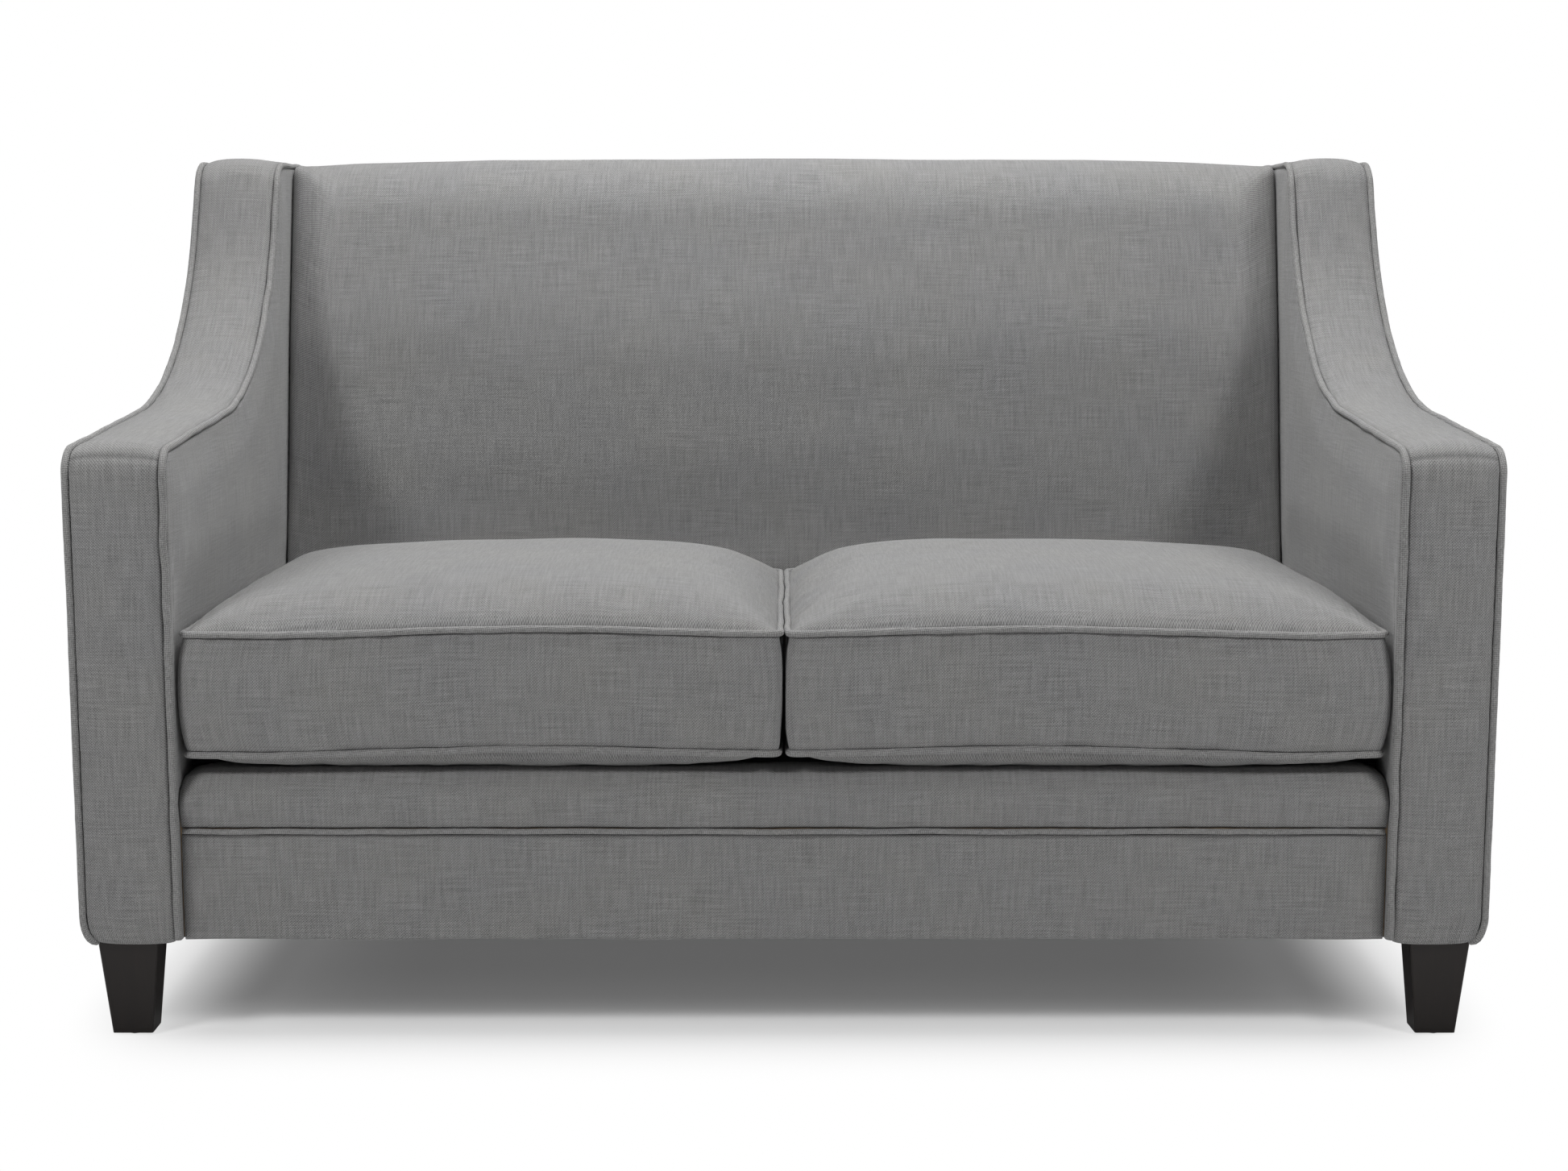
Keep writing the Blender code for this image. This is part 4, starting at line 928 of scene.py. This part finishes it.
def outside_back():
    """The flat panel behind, pulled from side to side and turned under at the foot."""
    half = OUTER_PIPING_X - 0.0035
    x, z = np.linspace(-1, 1, 150) * half, np.linspace(0.1003, REAR_HEIGHT - 0.0004, 90)
    grid_x, grid_z = np.meshgrid(x, z)
    below_seam = REAR_HEIGHT - grid_z
    edge = np.minimum(half - np.abs(grid_x), below_seam)
    points = np.stack([grid_x, REAR_DEPTH - below_seam * REAR_LEAN, grid_z], axis=-1)
    swell = 0.0030 * ease(edge / 0.25) - 0.0016 * fading(edge, 0.002)
    swell += unevenness(points, 0.2, 6) * 0.0007 * ease(edge / 0.05)
    points[..., 1] += swell + 0.0012 - 0.005 * rolled((0.110 - grid_z) / 0.010)
    made = panel("outside_back_panel", points, laid(x, z), (0, 1, 0), ("outside_back_cover",), skin=0.0015)


# Front border and deck


def border(name, path, length, seam, stands_for, end_drop=0.0):
    """Cloth along the front between the arms over a (depth, height) path, sewn down at one length."""
    half = SEAT_SIDE_X - 0.0004
    x = np.linspace(-half, half, 260)
    points = swept(x, path)
    beside = np.abs(length - seam)[:, None]
    lift = unevenness(points * (1, 1, 0.4), 0.08, 57) * 0.0007 - SEAM_DEPTH * fading(beside, 0.0016)
    lift += unevenness(points, 0.014, 67) * 0.0004 * fading(beside, 0.010)
    # Painted shade: how much the colour darkens down in the piping seam
    crease = ease((0.0021 - beside) / 0.0012) * np.ones(len(x))
    points[..., 1:] += outward(path)[:, None, :] * lift[..., None]
    drop = ease((path[:, 1] - 0.222) / 0.048)[:, None] * rolled(1 - (half - np.abs(x)) / 0.036)
    points[..., 2] -= end_drop * drop
    made = panel(name, points, laid(x, length), (0, -1, 1), stands_for, crease=crease)


def front_borders():
    """The two borders between the arms, with one piping in the seam between them."""
    below, above = BORDER_SEAM - BORDER_PIPING * 0.8, BORDER_SEAM + BORDER_PIPING * 0.8
    low = [(0.030, 0.0980), (0.0118, 0.0980, 0.005), (0.0108, 0.150, 0.3), (0.0120, below)]
    path, length = spaced(rounded(low, 12), 0.0012)
    border("lower_front_panel", path, length, length[-1], ("lower_front_border",))
    roll = DECK_HEIGHT + 0.0001
    high = [(0.0120, above), (0.0058, 0.2405, 0.026), (0.0125, roll, 0.030), (0.0580, roll)]
    path, length = spaced(rounded(high, 14), 0.0012)
    border("upper_front_panel", path, length, 0.0, ("upper_front_border", "front_edge_roll"), end_drop=0.011)
    x = np.arange(-SEAT_SIDE_X + 0.0015, SEAT_SIDE_X - 0.0014, 0.0035)
    points = np.zeros((len(x), 3)) + (0, FRONT_Y + 0.0112, BORDER_SEAM)
    points[:, 0] = x
    mesh = cord("front_border_welt", swayed(points, 0.0004, 0.045, 61), BORDER_PIPING, 62)
    finished("front_border_welt", mesh, "piping", "frame", ("front_border_piping",))


def seat_deck():
    """The black platform cloth that the loose cushions lie on, dished a little by its springs."""
    front, rear = DECK_DEPTHS
    x, depth = np.linspace(-SEAT_SIDE_X + 0.001, SEAT_SIDE_X - 0.001, 200), np.linspace(front, rear, 110)
    grid_x, grid_u = np.meshgrid(x, depth)
    points = np.stack([grid_x, grid_u, np.full(grid_x.shape, DECK_HEIGHT)], axis=-1)
    edge = np.minimum(SEAT_SIDE_X - np.abs(grid_x), np.minimum(grid_u - front, rear - grid_u))
    hollow = 0.0011 * ease(edge / 0.10) + 0.0005 * (1 + unevenness(points, 0.07, 71)) * ease(edge / 0.03)
    points[..., 2] -= hollow + 0.0008 * fading(edge, 0.003)
    stands_for = ("deck_cover", "deck_pad")
    deck = panel("seat_deck", points, laid(x, depth), (0, 0, 1), stands_for, kind="black_cloth")


def dust_cover():
    """The black cambric below, notched round the legs and sagging a little."""
    front, front_notch, rear_notch, rear = DUST_COVER_Y
    side_marks = np.linspace(LEG_NOTCH_X, DUST_COVER_X, 8)
    middle = np.linspace(-LEG_NOTCH_X, LEG_NOTCH_X, 120)
    x = np.concatenate([-side_marks[::-1], middle[1:-1], side_marks])
    at_front, at_legs = np.linspace(front, front_notch, 6)[:-1], np.linspace(front_notch, rear_notch, 60)[:-1]
    y = np.concatenate([at_front, at_legs, np.linspace(rear_notch, rear, 7)])
    grid_x, grid_y = np.meshgrid(x, y)
    tiny = 1e-6
    narrow = (y <= front_notch + tiny) | (y >= rear_notch - tiny)
    reach = np.where(narrow, LEG_NOTCH_X, DUST_COVER_X)[:, None]
    edge = np.clip(np.minimum(reach - np.abs(grid_x), np.minimum(grid_y - front, rear - grid_y)), 0, None)
    points = np.stack([grid_x, grid_y, np.full(grid_x.shape, SOFA_FOOT)], axis=-1)
    bay = ease(edge / 0.16) * (0.35 + 0.65 * ease(np.abs(grid_x) / 0.14))
    puckers = unevenness(points, 0.028, 77) * fading(edge, 0.03) * ease(edge / 0.006)
    sag = bay * (0.0035 + 0.0003 * (1 + unevenness(points, 0.12, 78)))
    points[..., 2] -= 0.0004 + sag + np.abs(puckers) * 0.0008
    rows, columns = grid_x.shape
    faces = []
    for r in range(rows - 1):
        beside_leg = y[r + 1] <= front_notch + tiny or y[r] >= rear_notch - tiny
        for c in range(columns - 1):
            if beside_leg and (x[c] < -LEG_NOTCH_X - tiny or x[c + 1] > LEG_NOTCH_X + tiny):
                continue
            at = r * columns + c
            faces.append((at, at + columns, at + columns + 1, at + 1))
    mesh = bpy.data.meshes.new("dust_cover_cloth")
    mesh.from_pydata(points.reshape(-1, 3).tolist(), [], faces)
    made = bmesh.new()
    made.from_mesh(mesh)
    bmesh.ops.delete(made, geom=[vert for vert in made.verts if not vert.link_faces], context="VERTS")
    made.to_mesh(mesh)
    made.free()
    mesh.shade_smooth()
    cover = finished("dust_cover_cloth", mesh, "black_cloth", "frame", ("dust_cover",), skin=0.0009)


def staples():
    """A row of staples along each edge of the dust cover, none of them quite in line."""
    front, front_notch, rear_notch, rear = DUST_COVER_Y
    inset, step = 0.009, 0.043
    along_x = np.arange(-LEG_NOTCH_X + 0.02, LEG_NOTCH_X - 0.01, step)
    along_y = np.arange(front_notch + 0.02, rear_notch - 0.01, step)
    spots = [(spot, line, 0) for line in (front + inset, rear - inset) for spot in along_x]
    first_crosswise = len(spots)
    spots += [(line, spot, 0) for line in (DUST_COVER_X - inset, inset - DUST_COVER_X) for spot in along_y]
    spots = np.array(spots)
    wander = unevenness(spots, 0.011, 79)
    turns = np.zeros(spots.shape)
    turns[first_crosswise:, 2] = math.pi / 2
    turns[:, 2] += wander * 0.16
    spots[:, 2] = SOFA_FOOT - 0.0015
    spots[:, :2] += np.stack([wander, unevenness(spots, 0.013, 83)], axis=1) * 0.002
    repeated("dust_cover_staples", spots, turns, STAPLE, 0.03, 11, "zinc", "frame")


# Loose cushions


def zip_closure(body, side):
    """The zip across a cushion's rear boxing: its tape, and a coil of small teeth along the middle."""
    x, z = np.linspace(-ZIP_REACH, ZIP_REACH, 180), np.linspace(-ZIP_TAPE_HALF, ZIP_TAPE_HALF, 9)
    grid_x, grid_z = np.meshgrid(x, z)
    face_y = np.full(grid_x.shape, ZIP_FACE_Y)
    points = np.stack([grid_x + ZIP_X * side, face_y, grid_z + ZIP_HEIGHT], axis=-1)
    points[..., 1] -= 0.0006 + 0.0004 * bell(grid_z, 0.0009) + 0.0001 * unevenness(points, 0.02, 85 + side)
    mesh = woven(f"{body}_zip_tape", points, laid(x, z), outwards=(0, 1, 0))
    finished(f"{body}_zip_tape", mesh, "zip_tape", body, (f"{body}_zip",), skin=0.0006)
    along = np.arange(-ZIP_REACH + 0.004, ZIP_REACH - 0.003, 0.0016)
    teeth = np.zeros((len(along), 3)) + (ZIP_X * side, ZIP_FACE_Y - 0.0003, ZIP_HEIGHT)
    teeth[:, 0] += along
    lean = np.zeros(teeth.shape)
    up = np.where(np.arange(len(along)) % 2, 1, -1)
    teeth[:, 2] += up * 0.0009
    lean[:, 1] = up * 0.35
    repeated(f"{body}_zip_coil", teeth, lean, ZIP_TOOTH, 0.04, 7, "zip_coil", body)


def graded(count):
    """Marks from 0 to 1 that stand closer together at both ends."""
    share = np.linspace(0, 1, count + 1)
    return share - CUSHION_GATHER * np.sin(2 * math.pi * share) / (2 * math.pi)


def cushion_outline(insets, counts, side):
    """Four runs of points round a cushion, corner middle to corner middle: front, rear, left, right."""
    front_in, rear_in, centre_in, arm_in = insets
    left_in, right_in = (arm_in, centre_in) if side < 0 else (centre_in, arm_in)
    x_ends = {-1: left_in - CUSHION_HALF[0], 1: CUSHION_HALF[0] - right_in}
    y_ends = {-1: front_in - CUSHION_HALF[1], 1: CUSHION_HALF[1] - rear_in}
    reach, power = CUSHION_CORNER[0] - front_in * 0.5, CUSHION_CORNER[1]
    turn = np.linspace(0, math.pi / 2, 61)
    arc = np.stack([np.cos(turn) ** (2 / power), np.sin(turn) ** (2 / power)], axis=1) * reach
    middle = len(turn) // 2

    def corner(sign_x, sign_y):
        centre = x_ends[sign_x] - sign_x * reach, y_ends[sign_y] - sign_y * reach
        return np.array(centre) + arc * (sign_x, sign_y)

    lines = []
    for end in (-1, 1):
        line = np.vstack([corner(-1, end)[middle:], corner(1, end)[middle:][::-1]])
        lines.append((line, counts[0]))
    for end in (-1, 1):
        line = np.vstack([corner(end, -1)[: middle + 1][::-1], corner(end, 1)[: middle + 1]])
        lines.append((line, counts[1]))
    runs = []
    for line, count in lines:
        points, _ = spaced(line, 1e-3)
        marks = graded(count) * (len(points) - 1)
        index = np.arange(len(points))
        runs.append(resampled(marks, index, points))
    return runs


def patch(runs):
    """Rows of points filling the space between four edge runs."""
    front, rear, left, right = runs
    u = graded(len(front) - 1)[None, :, None]
    v = graded(len(left) - 1)[:, None, None]
    across = (1 - v) * front[None] + v * rear[None]
    along = (1 - u) * left[:, None] + u * right[:, None]
    corners = (1 - v) * ((1 - u) * front[0] + u * front[-1]) + v * ((1 - u) * rear[0] + u * rear[-1])
    return across + along - corners


def seam_height(label, x, y, side):
    """The height of a cushion's piping seam at a place round it, highest a little off its middle."""
    outer = np.clip(x * side / CUSHION_HALF[0], -1, 1)
    rear = (np.clip(y / CUSHION_HALF[1], -1, 1) + 1) / 2
    arch, dip = bell(outer + 0.2, 0.55), bell(outer - 0.68, 0.22)
    front_line, rear_line = (height + up * arch - down * dip for height, up, down in CUSHION_SEAMS[label])
    return front_line * (1 - rear) + rear_line * rear


def bowed(share, power, fullness):
    """A crown's profile: 1 in the middle, falling to 0 at both edges."""
    return (1 - np.clip(np.abs(share), 0, 1) ** power) ** fullness


def seam_loop(runs):
    """The four runs as one loop, from the front's left end round by the right."""
    front, rear, left, right = runs
    return np.vstack([front[:-1], right[:-1], rear[::-1][:-1], left[::-1][:-1]])


def cushion_shape(side):
    """A cushion's skin in three parts that meet at the seams: its top, underside and boxing rows."""
    counts = (round(2 * CUSHION_HALF[0] / CUSHION_CELL), round(2 * CUSHION_HALF[1] / CUSHION_CELL))
    inner = cushion_outline(CUSHION_SEAM_INSETS, counts, side)
    outer = cushion_outline((0.0, 0.0, 0.0, 0.0), counts, side)
    top = patch([np.hstack([run, np.zeros((len(run), 1))]) for run in inner])
    under = top.copy()
    x, y = top[..., 0], top[..., 1]
    a = 2 * graded(x.shape[1] - 1)[None, :] - 1 + 0 * x
    b = 2 * graded(x.shape[0] - 1)[:, None] - 1 + 0 * x
    arm_side = ease(a * side * 0.5 + 0.5)
    across = bowed(a, 4.5, 0.5) * arm_side + bowed(a, 5.0, 0.62) * (1 - arm_side)
    top[..., 2] = seam_height("upper", x, y, side) + CROWN_RISE * across * bowed(b, 3.4, 0.5)
    low_seam = seam_height("lower", x, y, side)
    in_front = np.clip((y - y[0].min()) / 0.012, 0, 1)
    belly = np.sqrt(1 - (1 - in_front) ** 2) * (0.86 + 0.14 * bowed(b, 4.0, 0.6)) * ease((1 - b) / 0.12)
    under[..., 2] = low_seam - (low_seam - UNDERSIDE_HEIGHT) * bowed(a, 4.0, 0.65) * belly

    seam_ring, outer_ring = seam_loop(inner), seam_loop(outer)
    low_z, high_z = (seam_height(label, *seam_ring.T[:2], side) for label in ("lower", "upper"))
    near = np.array(BOXING_ROWS) / BOXING_HEIGHT
    levels = np.concatenate([near, [0.5], 1 - near[::-1]])
    out = np.sin(math.pi * levels) ** 0.55
    wall = np.zeros((len(levels), len(seam_ring), 3))
    wall[..., :2] = seam_ring[None] + (outer_ring - seam_ring)[None] * out[:, None, None]
    wall[..., 2] = low_z[None] + (high_z - low_z)[None] * levels[:, None]
    steps = np.linalg.norm(np.diff(np.vstack([outer_ring, outer_ring[:1]]), axis=0), axis=1)
    return top, under, wall, np.concatenate([[0], np.cumsum(steps)])


def cushion_mesh(name, side):
    """The cushion's closed skin, its weave map, and the vertices sewn into the two seams."""
    top, under, wall, around = cushion_shape(side)
    made = bmesh.new()
    weave = made.loops.layers.uv.new("weave")
    rows, columns = top.shape[:2]
    top_verts = [[made.verts.new(point) for point in row] for row in top]
    under_verts = [[made.verts.new(point) for point in row] for row in under]

    def ring_of(verts):
        front = verts[0][:-1]
        right = [row[-1] for row in verts[:-1]]
        rear = verts[-1][::-1][:-1]
        left = [row[0] for row in verts[::-1]][:-1]
        return front + right + rear + left

    rings = [ring_of(under_verts)]
    for level in wall[1:-1]:
        rings.append([made.verts.new(point) for point in level])
    rings.append(ring_of(top_verts))
    for verts, up, shift in ((top_verts, True, 0.0), (under_verts, False, 0.3)):
        for r in range(rows - 1):
            for c in range(columns - 1):
                corners = [verts[r][c], verts[r][c + 1], verts[r + 1][c + 1], verts[r + 1][c]]
                face = made.faces.new(corners if up else corners[::-1])
                for loop in face.loops:
                    loop[weave].uv = (loop.vert.co.x + shift + side * 0.0123, loop.vert.co.y)
    count = len(rings[0])
    heights = wall[..., 2].mean(axis=1)
    for r in range(len(rings) - 1):
        for c in range(count):
            after = (c + 1) % count
            face = made.faces.new([rings[r][c], rings[r][after], rings[r + 1][after], rings[r + 1][c]])
            for loop, (step, level) in zip(face.loops, ((c, r), (c + 1, r), (c + 1, r + 1), (c, r + 1))):
                loop[weave].uv = (around[step], heights[level])
    crease = made.edges.layers.float.new("crease_edge")
    for ring in (rings[0], rings[-1]):
        for index in range(count):
            made.edges.get((ring[index], ring[(index + 1) % count]))[crease] = 1.0
    made.verts.index_update()
    pinned = [vert.index for vert in {*rings[0], *rings[-1]}]
    mesh = bpy.data.meshes.new(name)
    made.to_mesh(mesh)
    made.free()
    mesh.shade_smooth()
    return mesh, sorted(pinned)


COVER_CLOTH = {
    "quality": 5,
    "mass": 0.4,
    "tension_stiffness": 30,
    "compression_stiffness": 30,
    "shear_stiffness": 12,
    "bending_stiffness": 0.6,
    "tension_damping": 12,
    "compression_damping": 12,
    "shear_damping": 12,
    "air_damping": 4,
    "use_pressure": True,
    "uniform_pressure_force": 4.0,
    "vertex_group_mass": "sewn",
    "pin_stiffness": 1.0,
    "shrink_min": -0.012,
}


def fill_with_foam(piece, pinned, seed):
    """A short cloth simulation: the cover swells over its core between the sewn seams."""
    mesh = piece.data
    rest = np.array([vert.co for vert in mesh.vertices])
    loose = np.ones(len(rest))
    loose[pinned] = 0
    start = rest.copy()
    start[:, 2] += unevenness(rest, 0.045, seed) * 0.0006 * loose
    mesh.vertices.foreach_set("co", start.ravel())
    group = piece.vertex_groups.new(name="sewn")
    group.add(pinned, 1.0, "REPLACE")
    cloth = piece.modifiers.new("cover", "CLOTH")
    for key, value in COVER_CLOTH.items():
        setattr(cloth.settings, key, value)
    cloth.settings.effector_weights.gravity = 0
    cloth.collision_settings.use_collision = False
    cloth.collision_settings.use_self_collision = False
    scene = bpy.context.scene
    for frame_number in range(1, SWELL_FRAMES + 1):
        scene.frame_set(frame_number)
    depsgraph = bpy.context.evaluated_depsgraph_get()
    shaped = np.array([vert.co for vert in piece.evaluated_get(depsgraph).data.vertices])
    piece.modifiers.remove(cloth)
    piece.vertex_groups.clear()
    scene.frame_set(1)
    moved = shaped - rest
    length = np.linalg.norm(moved, axis=1, keepdims=True)
    moved *= np.minimum(SWELL_KEPT, SWELL_LIMIT / np.maximum(length, 1e-9))
    mesh.vertices.foreach_set("co", (rest + moved).ravel())
    mesh.update()


def puckered(mesh, side, seed):
    """Gathers at a cushion's seams, pleats down its boxing, a flat place for the zip, and painted shade in
    the seams.
    """
    points = np.array([vert.co for vert in mesh.vertices])
    normals = np.array([vert.normal for vert in mesh.vertices])
    x, y, z = points.T
    below_seam = seam_height("upper", x, y, side) - z
    above_seam = z - seam_height("lower", x, y, side)
    to_edge = np.minimum(CUSHION_HALF[0] - np.abs(x), CUSHION_HALF[1] - np.abs(y))
    inwards = np.clip(to_edge - CUSHION_SEAM_INSETS[-1], 0, None)
    to_seam = np.minimum(np.hypot(below_seam, inwards), np.hypot(above_seam, inwards))
    clear = ease((to_seam - 0.0006) / 0.005)
    gathers = unevenness(points, 0.016, seed + 3) * 0.0007 * fading(to_seam, 0.016)
    broad = unevenness(points, 0.11, seed + 5) * 0.0011 * ease(to_seam / 0.04)
    pleats = unevenness(points * (1, 1, 0.22), 0.030, seed + 9) * 0.00045 * (1 - normals[:, 2] ** 2)
    points += normals * ((gathers + broad + pleats) * clear)[:, None]
    from_zip = np.abs(x + (CUSHION_X - ZIP_X) * side)
    at_zip = ease((y - 0.265) / 0.002) * ease((ZIP_REACH + 0.004 - from_zip) / 0.004)
    at_zip = at_zip * ease((0.0085 - np.abs(z - ZIP_HEIGHT)) / 0.003)
    points[:, 1] -= at_zip * 0.003
    points[:, 0] = np.clip(points[:, 0], -CUSHION_HALF[0], CUSHION_HALF[0])
    points[:, 1] = np.clip(points[:, 1], -CUSHION_HALF[1] - 0.004, CUSHION_HALF[1])
    points[:, 2] = np.clip(points[:, 2], *CUSHION_HEIGHTS)
    from_seam = np.minimum(below_seam, above_seam)
    # Painted shade: how much the boxing's colour darkens next to each piping seam, where shade falls
    crease = ease((0.0046 - from_seam) / 0.0011) * (from_seam > 0) * (np.abs(normals[:, 2]) < 0.8)
    depth = mesh.attributes.new("crease", "FLOAT", "POINT")
    depth.data.foreach_set("value", crease.astype(np.float32))
    points += (CUSHION_X * side, CUSHION_Y, 0.0)
    mesh.vertices.foreach_set("co", points.astype(np.float32).ravel())
    mesh.update()


def cushion_pipings(body, side, seed):
    """A cushion's two pipings. The upper ones of both cushions wander together where they touch."""
    for label in ("lower", "upper"):
        ring = seam_loop(cushion_outline(CUSHION_PIPING_INSETS, (140, 126), side))
        z = seam_height(label, ring[:, 0], ring[:, 1], side)
        line, _ = spaced(np.column_stack([ring, z]), 0.0035, closed=True)
        at_centre = ease((-side * line[:, 0] - 0.275) / 0.012) * (label == "upper")
        shared_wave = unevenness(line * (0, 1, 0), 0.060, 91) * 0.0013
        line = swayed(line, 0.0004, 0.05, seed + 11)
        line[:, 0] += at_centre * (shared_wave - side * 0.0013)
        line += (CUSHION_X * side, CUSHION_Y, 0.0)
        welt = cord(f"{body}_{label}_welt", line, PIPING, seed + 13, closed=True)
        finished(f"{body}_{label}_welt", welt, "piping", body, (f"{body}_{label}_piping",))


def seat_cushion(word, side):
    """One loose cushion: its cover, filled and rounded, with its zip and pipings."""
    seed, body = 80 + side, f"{word}_cushion"
    mesh, pinned = cushion_mesh(f"{word}_seat_cushion", side)
    piece = finished(f"{word}_seat_cushion", mesh, "cover", body, (f"{body}_cover", f"{body}_foam"))
    fill_with_foam(piece, pinned, seed)
    rounder = piece.modifiers.new("rounder", "SUBSURF")
    rounder.levels = rounder.render_levels = 1
    depsgraph = bpy.context.evaluated_depsgraph_get()
    fine = bpy.data.meshes.new_from_object(piece.evaluated_get(depsgraph))
    piece.modifiers.remove(rounder)
    puckered(fine, side, seed)
    piece.data = fine
    cushion_pipings(body, side, seed)
    zip_closure(body, side)


# Room, light and camera


def studio_floor():
    """A pale floor that turns white for the camera away from the sofa, with a faint glow for the camera near
    it that lightens the sofa's shadow.
    """
    mesh = bpy.data.meshes.new("studio_floor")
    corners = [(x * FLOOR_REACH, y * FLOOR_REACH, 0) for x, y in ((-1, -1), (1, -1), (1, 1), (-1, 1))]
    mesh.from_pydata(corners, [], [(0, 1, 2, 3)])
    floor = bpy.data.objects.new("studio_floor", mesh)
    bpy.context.scene.collection.objects.link(floor)
    pale = Finish("pale_floor", 0.9, specular_ior_level=0.1)
    tree = pale.tree
    place = pale.object_place()
    across, along = pale.parts(place)
    beyond_side = (across.maths("ABSOLUTE") - HALF_WIDTH + 0.15).maths("MAXIMUM", 0.0) * 1.6
    beyond_front = (along.maths("ABSOLUTE") + FRONT_Y + 0.15).maths("MAXIMUM", 0.0)
    away = (beyond_side * beyond_side + beyond_front * beyond_front) ** 0.5
    seen = pale.node("ShaderNodeLightPath", {}, {}, "Is Camera Ray")
    pale.shader.inputs["Base Color"].default_value = (0.90, 0.90, 0.90, 1.0)
    glow = pale.node("ShaderNodeEmission", {}, {"Color": (1.0, 1.0, 1.0, 1.0), "Strength": 1.0})
    white = (away / 0.32).clamped()
    # Painted light: even under the sofa the camera sees 0.115 of white glow, which lightens the sofa's shadow
    # on the floor
    share = (white * white * (3.0 - 2.0 * white) * 0.885 + 0.115) * seen
    mixed = tree.nodes.new("ShaderNodeMixShader")
    tree.links.new(share.socket, mixed.inputs[0])
    tree.links.new(pale.shader.outputs[0], mixed.inputs[1])
    tree.links.new(glow.socket, mixed.inputs[2])
    tree.links.new(mixed.outputs[0], tree.nodes["Material Output"].inputs["Surface"])
    mesh.materials.append(pale.material)


def white_sky():
    """A sky that is white for the camera and gives the cloth little light."""
    world = bpy.data.worlds.new("studio")
    bpy.context.scene.world = world
    world.use_nodes = True
    tree = world.node_tree
    tree.nodes.clear()
    mixed = tree.nodes.new("ShaderNodeMixShader")
    light_for_cloth, white_for_camera = ((0.97, 0.98, 1.0, 1.0), WORLD_STRENGTH), ((1.0, 1.0, 1.0, 1.0), 1.0)
    for place, (colour, strength) in enumerate((light_for_cloth, white_for_camera), start=1):
        sky = tree.nodes.new("ShaderNodeBackground")
        sky.inputs["Color"].default_value = colour
        sky.inputs["Strength"].default_value = strength
        tree.links.new(sky.outputs[0], mixed.inputs[place])
    tree.links.new(tree.nodes.new("ShaderNodeLightPath").outputs["Is Camera Ray"], mixed.inputs[0])
    tree.links.new(mixed.outputs[0], tree.nodes.new("ShaderNodeOutputWorld").inputs["Surface"])


def soft_lamp(name, where, size, power):
    """A square area lamp that looks at the sofa's middle."""
    light = bpy.data.lights.new(name, "AREA")
    light.shape = "SQUARE"
    light.size = size
    light.energy = power
    lamp = bpy.data.objects.new(name, light)
    lamp.location = where
    lamp.rotation_euler = (Vector(LAMP_GOAL) - Vector(where)).to_track_quat("-Z", "Y").to_euler()
    bpy.context.scene.collection.objects.link(lamp)


def lamps():
    """The lamp pairs, mirrored left and right, and the one overhead."""
    for name, turn, up, distance, size, power in LAMP_PAIRS:
        turn, up = math.radians(turn), math.radians(up)
        for word, side in SIDES.items():
            flat = distance * math.cos(up)
            height = LAMP_GOAL[2] + distance * math.sin(up)
            where = (side * flat * math.sin(turn), -flat * math.cos(turn), height)
            soft_lamp(f"{word}_{name}", where, size, power)
    soft_lamp(*OVERHEAD)


def camera():
    """The photo's view."""
    data = bpy.data.cameras.new("camera")
    data.lens = CAMERA_LENS
    data.sensor_width = 36.0
    view = bpy.data.objects.new("camera", data)
    view.location = CAMERA_PLACE
    view.rotation_euler = (math.radians(CAMERA_TILT), 0.0, 0.0)
    bpy.context.scene.collection.objects.link(view)
    bpy.context.scene.camera = view


camera()
carried_over()
for word, side in SIDES.items():
    arm_band(word, side)
    arm_piping(word, side)
    inside_arm(word, side)
    outside_arm(word, side)
inside_back()
outside_back()
front_borders()
seat_deck()
dust_cover()
staples()
for word, side in SIDES.items():
    seat_cushion(word, side)
studio_floor()
white_sky()
lamps()
bpy.context.scene.view_settings.view_transform = "Standard"
